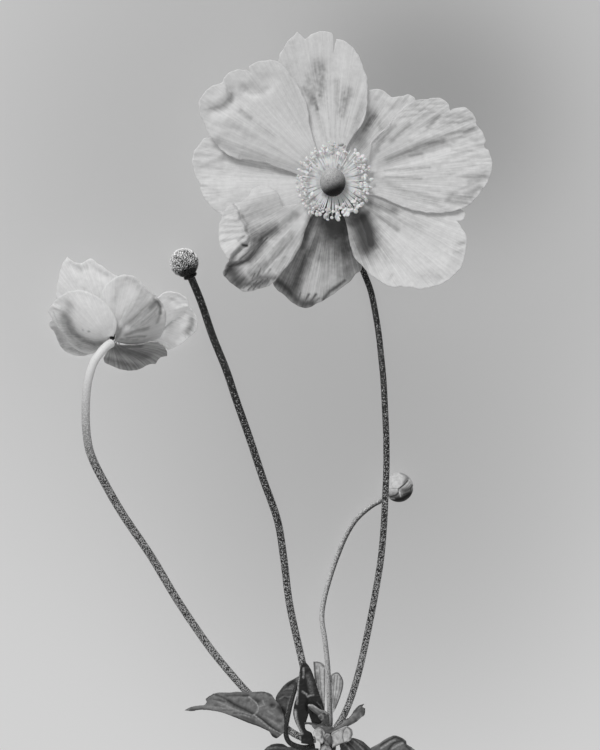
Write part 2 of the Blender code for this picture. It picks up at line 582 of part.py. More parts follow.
def cut_stalk(material):
    """The short stalk below the leafy joint, cut straight, and the swelling of the joint."""
    route = [
        (14.5, -94.25, 1.7), (14.5, -87.6, 1.7), (14.5, -86, 2.1), (14.55, -84.6, 2.8),
        (14.6, -83.4, 3.1), (14.6, -82.3, 3.1), (14.6, -81.1, 3.1), (14.6, -80.2, 3.1),
        (14.6, -79.7, 3.1)]
    radii = [1.84, 1.84, 1.95, 2.35, 2.7, 2.85, 2.6, 1.95, 1.3]
    return add_object("stalk", swept(route, radii, 8), material)


def build():
    clear_scene()
    white = grey_material("tepal", 0.72, 0.6)
    dark = grey_material("stem", 0.09, 0.6)
    pale = grey_material("pale_stem", 0.45, 0.6)
    green = grey_material("leaf", 0.12, 0.5)
    light_green = grey_material("young_leaf", 0.4, 0.5)
    grain = grey_material("grain", 0.2, 0.8)
    pollen = grey_material("anther", 0.75, 0.6)

    bloom = add_empty("open_bloom", BLOOM_AT)
    open_tepals(bloom, white)
    receptacle("open_pistil", bloom, grain, 1, 10.55, 18.6)
    stamen_ring("open_stamens", bloom, pollen, 1, 16.0, 56, (4.9, 8.9), (3.3, 1.6), 7)

    bowl = add_empty("half_open_bloom", BOWL_AT, BOWL_TILT)
    half_open_tepals(bowl, white)
    receptacle("half_pistil", bowl, grain, -1, 0.6, 8.4)
    stamen_ring("half_stamens", bowl, pollen, -1, 5.8, 24, (4.7, 7.2), (4.3, 3.7), 11)

    stem("open_stem", OPEN_STEM, 0.9, 0.76, dark)
    stem("seed_stem", SEED_STEM, 0.92, 0.95, dark)
    stem("half_stem", HALF_STEM, 0.95, 0.92, pale)
    stem("bud_stem", BUD_STEM, 0.66, 0.62, pale)
    stem("leaf_rib", LEAF_RIB, 0.45, 0.75, green, 6)
    cut_stalk(green)
    seed_head(grain)
    bud(grain)
    for name, shape in LEAVES.items():
        young = name.startswith(("bract", "lobe", "leaf_small"))
        leaf(name, shape, light_green if young else green)


build()
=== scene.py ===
# %% [markdown]
# # Dressing a cut spray of Japanese anemone
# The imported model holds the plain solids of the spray: an open bloom, a half-open one that nods,
# a woolly seed head, a bud, their stems and the leafy joint that they spring from. The spray lies
# on a table, and the camera looks straight down on it. This script keeps every solid's place and
# size, and puts a finer piece over each: thin wavy tepals, a ring of stamens, hairy stems, veined
# leaves. Lengths are millimetres where nothing else is said, and MM turns them into metres.

# %% Load the frame and the tools
import math

import bpy
import numpy as np
from mathutils import Matrix, Vector, noise
from mathutils.geometry import delaunay_2d_cdt, interpolate_bezier


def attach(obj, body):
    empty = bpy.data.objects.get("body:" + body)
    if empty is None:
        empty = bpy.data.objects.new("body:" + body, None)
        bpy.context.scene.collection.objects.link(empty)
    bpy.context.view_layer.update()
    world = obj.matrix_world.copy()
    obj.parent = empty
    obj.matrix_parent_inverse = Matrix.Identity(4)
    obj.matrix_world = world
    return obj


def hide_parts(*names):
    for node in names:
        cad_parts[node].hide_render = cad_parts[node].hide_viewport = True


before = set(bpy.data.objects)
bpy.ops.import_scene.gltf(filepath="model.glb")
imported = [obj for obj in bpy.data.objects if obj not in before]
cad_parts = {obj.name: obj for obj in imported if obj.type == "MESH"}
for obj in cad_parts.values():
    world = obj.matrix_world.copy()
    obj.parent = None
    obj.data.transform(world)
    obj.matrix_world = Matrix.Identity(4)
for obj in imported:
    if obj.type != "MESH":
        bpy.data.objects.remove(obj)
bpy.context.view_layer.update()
scene = bpy.context.scene
scene.view_settings.view_transform = "Standard"
MM = 0.001
FULL_TURN = 2 * math.pi
MIDDLE = (0.3, 0.7)  # where most values of a noise lie
print("nodes in the frame:", len(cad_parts))

# %% [markdown]
# ## The camera
# A photograph of a lying spray is made from right above it. A short lens would show the tall bloom
# larger than the low leaves, so a long lens from far off is the better choice: it shows all of them
# at one scale. The long side of the sensor is the vertical one here, and 187.5 mm of table fill it.

# %% Camera
VIEW_CENTRE = (7.5, 8.75, 9.0)
VIEW_LENGTH = 187.5
CAMERA_AWAY = 2400.0
SENSOR = 36.0
SIGHT_IN_METRES = 100.0

camera_data = bpy.data.cameras.new("camera")
camera_data.sensor_width = SENSOR
camera_data.lens = SENSOR * CAMERA_AWAY / VIEW_LENGTH
camera_data.clip_end = SIGHT_IN_METRES
camera = bpy.data.objects.new("camera", camera_data)
camera.location = (Vector(VIEW_CENTRE) + Vector((0, 0, CAMERA_AWAY))) * MM
scene.collection.objects.link(camera)
scene.camera = camera
print("lens:", round(camera_data.lens), "mm")

# %% [markdown]
# ## Nodes in a few words
# Materials and Geometry Nodes are both trees of nodes. One helper adds a node, sets what is a
# constant, and links what comes from another node, so that a tree reads like a list of steps. The
# other helpers name the steps that come back often: arithmetic, a mix of two greys, a stretched
# range, noise, and a value that was stored on the mesh.

# %% Helpers that add nodes
MIX_FACTOR, MIX_FIRST, MIX_SECOND, MIX_RESULT = 0, 6, 7, 2


def add_node(tree, kind, inputs=None, **settings):
    """Add a node. Inputs are named or numbered, and hold a constant or another node's output."""
    node = tree.nodes.new(kind)
    for name, value in settings.items():
        setattr(node, name, value)
    for name, value in (inputs or {}).items():
        if isinstance(value, bpy.types.NodeSocket):
            tree.links.new(value, node.inputs[name])
        else:
            node.inputs[name].default_value = value
    return node


def result_of(tree, kind, inputs=None, **settings):
    """Add a node and give its first output."""
    return add_node(tree, kind, inputs, **settings).outputs[0]


def math_node(tree, operation, *values, clamp=False):
    """One step of arithmetic on one, two or three values."""
    return result_of(tree, "ShaderNodeMath", dict(enumerate(values)), operation=operation, use_clamp=clamp)


def vector_node(tree, operation, *values, **named):
    """One step of arithmetic on places or directions; a length or a dot product is a number."""
    inputs = {**dict(enumerate(values)), **named}
    node = add_node(tree, "ShaderNodeVectorMath", inputs, operation=operation)
    return node.outputs["Value" if operation in ("LENGTH", "DOT_PRODUCT") else "Vector"]


def tone_mix(tree, factor, first, second):
    """A grey that goes from one tone to another with a factor."""
    inputs = {MIX_FACTOR: factor}
    for socket, tone in ((MIX_FIRST, first), (MIX_SECOND, second)):
        inputs[socket] = tone if isinstance(tone, bpy.types.NodeSocket) else (tone, tone, tone, 1)
    return add_node(tree, "ShaderNodeMix", inputs, data_type="RGBA").outputs[MIX_RESULT]


def spread(tree, value, low, high, to_low=0.0, to_high=1.0, **settings):
    """Stretch a value's range to another range, and keep it inside that."""
    inputs = dict(enumerate((value, low, high, to_low, to_high)))
    return result_of(tree, "ShaderNodeMapRange", inputs, clamp=True, **settings)


# %% Helpers for materials
def new_material(name, **settings):
    """A material whose constant sockets are set on the Principled shader itself."""
    material = bpy.data.materials.new(name)
    material.use_nodes = True
    tree = material.node_tree
    shader = tree.nodes["Principled BSDF"]
    for socket, value in settings.items():
        shader.inputs[socket.replace("_", " ")].default_value = value
    return material, tree, shader


def place_of(tree):
    """The place of each point, in metres from the spray's origin."""
    return add_node(tree, "ShaderNodeTexCoord").outputs["Object"]


def distance_from(tree, place, centre):
    """How far each place lies from a centre that is given in millimetres."""
    return vector_node(tree, "LENGTH", vector_node(tree, "SUBTRACT", place, Vector(centre) * MM))


def noise_at(tree, place, scale, **settings):
    """Soft noise: the higher the scale, the finer it is."""
    return result_of(tree, "ShaderNodeTexNoise", {"Vector": place, "Scale": scale, **settings})


def stored(tree, name):
    """A share that was stored on the mesh under this name."""
    return add_node(tree, "ShaderNodeAttribute", attribute_name=name).outputs["Fac"]


def set_skin(tree, shader, tone, relief=None, strength=0.5, depth=0.1):
    """Give the shader its tone, and let a relief, so many millimetres deep, tilt its surface."""
    tree.links.new(tone, shader.inputs["Base Color"])
    if relief is not None:
        inputs = {"Strength": strength, "Distance": depth * MM, "Height": relief}
        tree.links.new(result_of(tree, "ShaderNodeBump", inputs), shader.inputs["Normal"])


# %% [markdown]
# ## Floor and light
# The backdrop of such a photograph is plain and pale, and it shows no shadow. A low soft key light
# from the top left models the petals, but on the floor it would draw long shadows. Light linking
# leaves the floor out of the key's reach, and an overhead light that reaches only the floor makes
# up for it. The floor's tone falls off a little in three wide soft spots of painted shade, where
# the light on the backdrop is weaker.

# %% Floor
FLOOR_HALF_IN_METRES = 12.0
FLOOR_TONE = 0.82
# Each shade: its middle, its radius, and the share of light that it takes away.
FLOOR_SHADES = (((17, 58, 0), 185, 0.34), ((38, 73, 0), 56, 0.325), ((30, -37, 0), 95, 0.16))

floor_mesh = bpy.data.meshes.new("floor")
corners = [(-1, -1, 0), (1, -1, 0), (1, 1, 0), (-1, 1, 0)]
floor_mesh.from_pydata([Vector(corner) * FLOOR_HALF_IN_METRES for corner in corners], [], [(0, 1, 2, 3)])
floor = bpy.data.objects.new("floor", floor_mesh)
scene.collection.objects.link(floor)

floor_skin, tree, shader = new_material("pale_floor", Roughness=0.9, Specular_IOR_Level=0.1)
place = place_of(tree)
floor_tone = FLOOR_TONE
# Each spot is painted shade in the floor's colour.
for centre, radius, taken in FLOOR_SHADES:
    away = distance_from(tree, place, centre)
    spot = spread(tree, away, 0.0, radius * MM, 1.0, 0.0, interpolation_type="SMOOTHERSTEP")
    floor_tone = math_node(tree, "MULTIPLY", floor_tone, spread(tree, spot, 0.0, 1.0, 1.0, 1 - taken))
set_skin(tree, shader, floor_tone)
floor_mesh.materials.append(floor_skin)
print("floor shades:", len(FLOOR_SHADES))

# %% [markdown]
# ## Which light reaches what
# One key light can't suit every form. The high key shows the flat blooms well, but it would leave
# the balls and the bud without a dark side, so these get a lower key of their own. One tepal of the
# nodding bloom turns away from all lights, and a weak reflector lifts it. The stems would draw thin
# dark lines on whatever lies below them, so they are kept out of the group that casts shadows.

# %% Lights
TOP_LEFT = (-0.43, 0.90)
KEY_HEIGHT, LOW_KEY_HEIGHT = 50, 27
SKY_ON_THINGS, SKY_IN_SIGHT = 0.09, 0.55


def sun(name, toward, strength, angle):
    """A distant light that comes from the direction toward, with soft shadows of that angle."""
    lamp = bpy.data.lights.new(name, "SUN")
    lamp.energy = strength
    lamp.angle = math.radians(angle)
    item = bpy.data.objects.new(name, lamp)
    item.rotation_mode = "QUATERNION"
    item.rotation_quaternion = Vector(toward).to_track_quat("Z", "Y")
    scene.collection.objects.link(item)
    return item


def from_top_left(height):
    """The direction to a light at the top left of the picture, so many degrees above the table."""
    level = math.cos(math.radians(height))
    return (TOP_LEFT[0] * level, TOP_LEFT[1] * level, math.sin(math.radians(height)))


key = sun("key", from_top_left(KEY_HEIGHT), strength=1.45, angle=20)
fill = sun("fill", (-0.1, 0.2, 1), strength=1.1, angle=150)
low_key = sun("low_key", from_top_left(LOW_KEY_HEIGHT), strength=4.3, angle=14)
reflector = sun("reflector", (0.55, -0.5, 0.67), strength=0.6, angle=60)
overhead = sun("overhead", (0.05, 0.1, 1), strength=2.2, angle=5)
overhead.data.use_shadow = False

world = bpy.data.worlds.new("studio")
scene.world = world
world.use_nodes = True
tree = world.node_tree
sky = tree.nodes["Background"]
sky.inputs["Color"].default_value = (1, 1, 1, 1)
seen = add_node(tree, "ShaderNodeLightPath").outputs["Is Camera Ray"]
tree.links.new(spread(tree, seen, 0.0, 1.0, SKY_ON_THINGS, SKY_IN_SIGHT), sky.inputs["Strength"])
print("lights:", [item.name for item in (key, fill, low_key, reflector, overhead)])

# %% Light groups
def put_in_group(group, item, state):
    """Let a light group take an item in, or leave it out."""
    group.objects.link(item)
    group.collection_objects[-1].light_linking.link_state = state


def light_as_round(piece):
    """Balls are lit by the low key in place of the high one, which would flatten them."""
    put_in_group(flat_things, piece, "EXCLUDE")
    put_in_group(round_things, piece, "INCLUDE")
    return piece


floor_only, flat_things, round_things, turned_away, shadow_makers = [
    bpy.data.collections.new(name)
    for name in ("floor_only", "flat_things", "round_things", "turned_away", "shadow_makers")]
for group, state in ((floor_only, "INCLUDE"), (flat_things, "EXCLUDE"), (turned_away, "EXCLUDE")):
    put_in_group(group, floor, state)
for lamp, group in ((key, flat_things), (fill, flat_things), (low_key, round_things),
                    (reflector, turned_away), (overhead, floor_only)):
    lamp.light_linking.receiver_collection = group
for lamp in (key, fill, low_key):
    lamp.light_linking.blocker_collection = shadow_makers
print("light groups:", [item.name for item in bpy.data.collections])

# %% [markdown]
# ## How a petal is made
# A real tepal is a thin sheet with a wavy edge. It could be sculpted by hand, or made from a curved
# grid that is trimmed. Here its outline is drawn as seen from above, a smooth curve is led through
# the points, and the inside is filled with small triangles. Each point is then lifted by a formula:
# the dish of the whole bloom, plus soft strokes for folds and dents, plus fine pleats.

# %% Smooth outlines
SHARP_TURN = math.radians(62)
RIM_EASE = 6
RIM_SEED_STEP, SECOND_DRAW = 3.1, 50


def smooth_step(value, low, high):
    """A share that goes gently from 0 at low to 1 at high."""
    share = np.clip((value - low) / (high - low), 0, 1)
    return share * share * (3 - 2 * share)


def smooth_outline(points, step):
    """A smooth closed curve through the points; a notch or corner that turns sharply stays sharp."""
    spots = [Vector((x, y, 0)) for x, y in points]
    count = len(spots)
    result, ways = [], []
    for index, spot in enumerate(spots):
        back, ahead = spots[index - 1], spots[(index + 1) % count]
        turn = (spot - back).angle(ahead - spot, 0.0)
        ways.append(None if turn > SHARP_TURN else (ahead - back).normalized())
    for index, start in enumerate(spots):
        end = spots[(index + 1) % count]
        reach = (end - start).length / 3
        out = ways[index] or (end - start).normalized()
        into = ways[(index + 1) % count] or (end - start).normalized()
        pieces = max(1, round((end - start).length / step))
        curve = interpolate_bezier(start, start + out * reach, end - into * reach, end, pieces + 1)
        result += [(spot.x, spot.y) for spot in curve[:-1]]
    return np.array(result)


def ragged(outline, amount, size, seed, clear):
    """Move an outline's points a little, as no living rim is quite smooth, but not near the foot."""
    result = outline.copy()
    for index, (x, y) in enumerate(outline):
        share = amount * float(smooth_step(math.hypot(x, y), clear, clear + RIM_EASE))
        shift = [noise.noise(Vector((x / size, y / size, seed * RIM_SEED_STEP + apart)))
                 for apart in (0, SECOND_DRAW)]
        result[index] += (shift[0] * share, shift[1] * share)
    return result


# %% [markdown]
# ## Marks that are drawn on a sheet
# Folds, creases, veins, flushes and painted shade are all drawn in one way. A mark is a width, an
# amount and then a chain of points, x and y in turn. A stroke is strongest on its chain and fades
# over its width, like a soft brush. A flap is a step: the sheet rises on the chain's left side and
# sinks back further out. The same strokes lift the mesh, or are stored on it as a tone for the skin,
# which paints a real flush and painted shade alike, and clouds of random heights keep them from
# looking drawn.

# %% Strokes, flaps and clouds
FLAP_EDGE = (-0.3, 0.35)
FAR_OFF, TINY = 1e9, 1e-9
CLOUD_ROUGHNESS, CLOUD_SEED_STEP = 0.6, 7.3
LAYERS = (2.0, 2)  # each layer of random heights is twice as fine as the last, and there are two


def to_chain(points, chain):
    """How far each point lies from a chain of points, and how far to its left (less than 0: right)."""
    ends = np.array(chain).reshape(-1, 2)
    nearest = np.full(len(points), FAR_OFF)
    left = np.zeros(len(points))
    for (x0, y0), (x1, y1) in zip(ends, ends[1:]):
        dx, dy = x1 - x0, y1 - y0
        px, py = points[:, 0] - x0, points[:, 1] - y0
        share = np.clip((px * dx + py * dy) / max(dx * dx + dy * dy, TINY), 0, 1)
        away = np.hypot(px - share * dx, py - share * dy)
        closer = away < nearest
        left[closer] = np.sign(dx * py - dy * px)[closer] * away[closer]
        nearest = np.minimum(nearest, away)
    return nearest, left


def strokes(points, marks):
    """Soft strokes from marks of width, amount and chain. Where they cross, the strongest counts."""
    raised, sunk = np.zeros(len(points)), np.zeros(len(points))
    for width, amount, *chain in marks:
        share = amount * np.exp(-(to_chain(points, chain)[0] / width) ** 2)
        raised, sunk = np.maximum(raised, share), np.minimum(sunk, share)
    return raised + sunk


def flaps(points, marks):
    """Sharp steps from marks of height, reach and chain."""
    total = np.zeros(len(points))
    for height, reach, *chain in marks:
        away, left = to_chain(points, chain)
        total += height * smooth_step(left, *FLAP_EDGE) * np.exp(-(away / reach) ** 2)
    return total


def clouds(points, size, seed):
    """Smooth random heights between about -1 and 1, with blobs of a given size."""
    level = seed * CLOUD_SEED_STEP
    return np.array([noise.fractal(Vector((x / size, y / size, level)), CLOUD_ROUGHNESS, *LAYERS)
                     for x, y in points])


# %% Fine sheets
ROW_PITCH = 0.866
FIRST_ROW, EVEN_START, ODD_START = 0.4, 0.8, 0.3
RIM_CLEARANCE = 0.45
KEEP_INSIDE, WELD = 1, 1e-6


def distance_to_rim(points, outline):
    """How far each point lies from a closed outline."""
    return to_chain(points, np.concatenate([outline, outline[:1]]))[0]


def are_inside(points, outline):
    """A point is inside when a line from it to the right crosses the outline an odd number of times."""
    odd = np.zeros(len(points), bool)
    x, y = points[:, 0], points[:, 1]
    for (ax, ay), (bx, by) in zip(outline, np.roll(outline, -1, axis=0)):
        if ay != by:
            odd ^= ((ay > y) != (by > y)) & (x < ax + (y - ay) * (bx - ax) / (by - ay))
    return odd


def fine_sheet(outline, grid):
    """Points and triangles that fill an outline, and how far each point lies from the rim."""
    low, high = outline.min(0), outline.max(0)
    spots = []
    for index, y in enumerate(np.arange(low[1] + grid * FIRST_ROW, high[1], grid * ROW_PITCH)):
        xs = np.arange(low[0] + grid * (ODD_START if index % 2 else EVEN_START), high[0], grid)
        spots.append(np.column_stack([xs, np.full(len(xs), y)]))
    spots = np.concatenate(spots)
    spots = spots[are_inside(spots, outline)]
    spots = spots[distance_to_rim(spots, outline) > grid * RIM_CLEARANCE]
    border = [(index, (index + 1) % len(outline)) for index in range(len(outline))]
    corners = [Vector(point) for point in np.concatenate([outline, spots])]
    made = delaunay_2d_cdt(corners, border, [], KEEP_INSIDE, WELD)
    points = np.array([(spot.x, spot.y) for spot in made[0]])
    faces = np.array([face for face in made[2] if len(face) == 3])
    a, b, c = (points[faces[:, corner]] for corner in range(3))
    area = (b[:, 0] - a[:, 0]) * (c[:, 1] - a[:, 1]) - (b[:, 1] - a[:, 1]) * (c[:, 0] - a[:, 0])
    faces[area < 0] = faces[area < 0][:, ::-1]
    used = np.unique(faces)
    renumber = np.zeros(len(points), int)
    renumber[used] = np.arange(len(used))
    points = points[used]
    return points, renumber[faces], distance_to_rim(points, outline)


# %% From points to a finished piece
def new_mesh(name, places, edges, faces):
    """A mesh from places in metres, shaded smooth."""
    mesh = bpy.data.meshes.new(name)
    mesh.from_pydata(places, edges, faces)
    mesh.shade_smooth()
    mesh.update()
    return mesh


def store(mesh, **shares):
    """Keep a value for each point, which a material reads by its name."""
    for name, values in shares.items():
        layer = mesh.attributes.new(name, "FLOAT", "POINT")
        layer.data.foreach_set("value", values.astype(np.float32))
    return mesh


def sheet_mesh(name, places, faces, uv=None, **shares):
    """A sheet's mesh from places in millimetres, with its own map and stored values."""
    mesh = new_mesh("fine_" + name, (places * MM).tolist(), [], faces.tolist())
    if uv is not None:
        layer = mesh.uv_layers.new(name="fan")
        corners = np.zeros(len(mesh.loops), np.int32)
        mesh.loops.foreach_get("vertex_index", corners)
        layer.data.foreach_set("uv", uv[corners].astype(np.float32).ravel())
    return store(mesh, **shares)


def add_piece(node, mesh, material):
    """A finished piece stands for its node, moves with the spray and takes its slot's finish."""
    if not mesh.materials:
        mesh.materials.append(material)
    piece = bpy.data.objects.new("fine_" + node, mesh)
    scene.collection.objects.link(piece)
    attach(piece, "root")
    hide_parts(node)
    return piece


def thicken(piece, thickness):
    """Give a sheet its thickness, half to each side."""
    wall = piece.modifiers.new("Blade", "SOLIDIFY")
    wall.thickness = thickness * MM
    wall.offset = 0.0
    return piece


def report(piece):
    """Print a finished piece's name and number of faces."""
    print(piece.name, "faces:", len(piece.data.polygons))


# %% [markdown]
# ## Skin of a tepal
# Seen close, a tepal is silky: fine lines run from its foot to its rim, some light passes through
# it, and it is flushed darker in patches. A flat white would look like paper. The lines come from
# noise that is stretched along the fan of the petal's own map, the dark patches from soft strokes
# stored on the mesh, and a little subsurface scattering softens the light. These patches paint the
# real flush together with painted shade: the shadows that neighbouring tepals, the ball and the
# stamens cast on a tepal, and the shade in its folds and where it turns away from the light.
# Half-dark patches are broken up by the lines and by fine blots, as a real flush is made of darker
# veins.

# %% Tepal material
FRONT_LINES = (62, 3.0)
LINE_ROUGHNESS = 0.62
BAND_SHARE = 0.3
GRAIN_SCALE, BLOT_SCALE = 900.0, 700.0
# How blots and lines break up a half-dark flush and painted shade, and where lines, bands and grain
# darken the white.
BLOTS_BREAK, LINES_BREAK = (-0.35, 0.35), (-0.5, 0.5)
LINE_EDGE, BAND_EDGE, GRAIN_EDGE = (0.42, 0.72), (0.35, 0.7, 0.0, 0.3), (0.35, 0.75, 0.0, 0.2)
BAND_TONE, GRAIN_TONE = 0.6, 0.5
LINE_RELIEF, GRAIN_RELIEF = 0.7, 0.45


def tepal_material(name, white, flush_tone, line_depth, line_scale=FRONT_LINES):
    """Silky grey: line_depth is how much darker the fine lines are, as a share of the white."""
    material, tree, shader = new_material(
        name, Roughness=0.62, Specular_IOR_Level=0.25, Subsurface_Weight=0.3, Subsurface_Scale=MM,
        Subsurface_Radius=(1, 1, 1), Sheen_Weight=0.08)
    fan = result_of(tree, "ShaderNodeUVMap", uv_map="fan")
    place = place_of(tree)

    def streaks(share, detail):
        scale = (line_scale[0] * share, line_scale[1] * share, 1)
        along = result_of(tree, "ShaderNodeMapping", {"Vector": fan, "Scale": scale})
        return noise_at(tree, along, 1.0, Detail=detail, Roughness=LINE_ROUGHNESS)

    lines, bands = streaks(1.0, 4.0), streaks(BAND_SHARE, 2.0)
    grain, blots = [noise_at(tree, place, scale, Detail=3.0) for scale in (GRAIN_SCALE, BLOT_SCALE)]
    # Stored marks darken the white: the tepal's own flush together with painted shade and shadow.
    flush = stored(tree, "flush")
    room = math_node(tree, "MULTIPLY", flush, math_node(tree, "SUBTRACT", 1.0, flush))
    uneven = math_node(tree, "ADD", spread(tree, blots, *MIDDLE, *BLOTS_BREAK),
                       spread(tree, lines, *MIDDLE, *LINES_BREAK))
    lined = math_node(tree, "ADD", flush, math_node(tree, "MULTIPLY", room, uneven), clamp=True)
    pale = tone_mix(tree, spread(tree, lines, *LINE_EDGE), white, white * (1 - line_depth))
    pale = tone_mix(tree, spread(tree, bands, *BAND_EDGE), pale, white * BAND_TONE)
    pale = tone_mix(tree, spread(tree, grain, *GRAIN_EDGE), pale, white * GRAIN_TONE)
    relief = math_node(tree, "ADD", math_node(tree, "MULTIPLY", lines, LINE_RELIEF),
                       math_node(tree, "MULTIPLY", grain, GRAIN_RELIEF))
    set_skin(tree, shader, tone_mix(tree, lined, pale, flush_tone), relief, strength=0.6, depth=0.25)
    return material


# Its dark tone is that of the tepals' own flush and of the shade and shadows painted on them.
tepal_skin = tepal_material("tepal_skin", white=0.875, flush_tone=0.055, line_depth=0.085)
print("made:", tepal_skin.name)

# %% [markdown]
# ## Tepals of the open bloom
# Eight tepals lie in three layers. The lowest ones show only between the others, so each outline
# also runs on under its neighbours. Folds are large and belong to the solid as well; creases, dents
# and flush marks are finer. The flush marks paint the tepals' own flush and painted shade together.
# Pleats fan out from the middle, and grow towards the rim. In the tables, turn is a tepal's direction
# in degrees, shade is how grey it is all over, partly its own tone and partly painted shade, mottle
# is how patchy its flush and painted shade are, and all points are measured from the bloom's middle.

# %% Sizes of the open bloom
BLOOM_AT = np.array([15.75, 57.1, 0.0])
BLOOM_REACH = 38.0
BLOOM_LIMIT = (39.6, 37.2)
DISH_RISE, DISH_CURVE = 5.4, 1.6
LAYER_Z = {1: 12.4, 2: 13.5, 3: 14.6}
LAYER_SPREAD = 0.012
CLAW_AT, CLAW_WIDTH = 3.5, 2.4
TEPAL_THICKNESS = 0.22
MARK_DEPTH = 1.1
PETAL_GRID = 0.26
TEPALS = {}
print("layers of tepals:", len(LAYER_Z))

# %% The tepal at the top
TEPALS["tepal_top"] = dict(
    layer=2, turn=94, pleats=0.03, crinkle=0.1, shade=0.0, mottle=0.5,
    outline=[(-5, 7), (-8, 11.5), (-11, 17), (-13, 23), (-13.8, 28), (-13.25, 31.45), (-11.7, 34),
        (-8.9, 37.1), (-7.1, 35.3), (-5.6, 36.3), (-4.1, 37.1), (-2, 37.15), (-0.25, 36.7), (0.1, 35.3),
        (0.1, 32), (0.8, 35.4), (2.6, 35), (5.1, 33), (6.65, 30.7), (7.7, 27.6), (8.5, 25.1), (8.7, 22),
        (8.4, 17.9), (7.4, 14.35), (5.6, 12.05), (4.1, 9.8)],
    folds=[(3, -0.5, -5, 14, -3, 27), (2.5, 0.4, 4, 12, 4, 28)],
    creases=[(1.1, -0.35, -4.6, 19, -4.2, 22), (1.3, -0.3, -2.8, 24, -2.6, 29),
        (0.9, -0.2, -7, 21.5, -6, 24), (1, -0.22, 3.5, 18, 4.6, 21), (1.1, -0.3, 6.5, 14.5, 8, 20)],
    # Its flush strokes paint a mottled patch, partly its own flush and partly painted shade in its dips,
    # painted shade on its right side where it turns away from the light, and a thin painted shadow beside
    # the top-left tepal's edge.
    flush=[(1.6, 0.36, -3.8, 28.6, -3.4, 24.5), (1.2, 0.42, -2.7, 28.6, -2.4, 24.5, -3.2, 21.5),
        (1.0, 0.42, -6.9, 22.8, -5.6, 21, -4.5, 19), (0.8, 0.5, -4.7, 20.6, -4.0, 18),
        (2.4, 0.26, -5.2, 26, -4.2, 20), (0.7, 0.2, -4, 17.6, -2.4, 11.5), (1.5, 0.36, 2.2, 17, 3.6, 22.4),
        (0.9, 0.24, 0.9, 25, 1.4, 17), (1.2, 0.2, 5, 12.5, 7.6, 18.5), (0.5, 0.14, -3, 16, -1.6, 10),
        (0.3, 0.16, -1.6, 22, -0.6, 11), (0.3, 0.14, 0.6, 20, 0.5, 11), (0.3, 0.14, 2, 20, 1.6, 11),
        (0.3, 0.14, 3.6, 16, 2.8, 11), (0.35, 0.2, -6.6, 14, -5, 9.5), (2.0, 0.08, -11, 27, -10, 33)])
print("drawn:", "tepal_top")

# %% The tepal at the top right
TEPALS["tepal_top_right"] = dict(
    layer=1, turn=54, pleats=0.07, crinkle=0.14, shade=0.04, mottle=0.15,
    outline=[(2.6, 8.3), (4.6, 14), (6.5, 20), (8.7, 22.5), (10.7, 22.8), (12.8, 22.4), (14.2, 21.2),
        (15.3, 21), (16.9, 21.2), (18.9, 21.6), (20.4, 20.7), (20.6, 19.9), (18.5, 15), (14, 9.5),
        (8.4, 5)],
    folds=[(2.5, -0.8, 8, 14, 12, 20)],
    creases=[(1.6, -0.5, 8.5, 12, 11, 17), (0.9, 0.25, 11, 21.5, 15, 19), (1, -0.2, 13, 16, 18, 19.5)],
    # Its strongest flush strokes lie beside the top tepal's right edge: painted shadow of that edge.
    flush=[(2.0, 0.55, 6.6, 9.6, 8.6, 13.6, 10, 16), (1.3, 0.72, 8.6, 14, 9.8, 16),
        (1.6, 0.4, 5.5, 7.5, 8, 11.5), (1.4, 0.3, 10.5, 16, 12, 13.6), (0.8, 0.14, 12, 18, 17, 20)])
print("drawn:", "tepal_top_right")

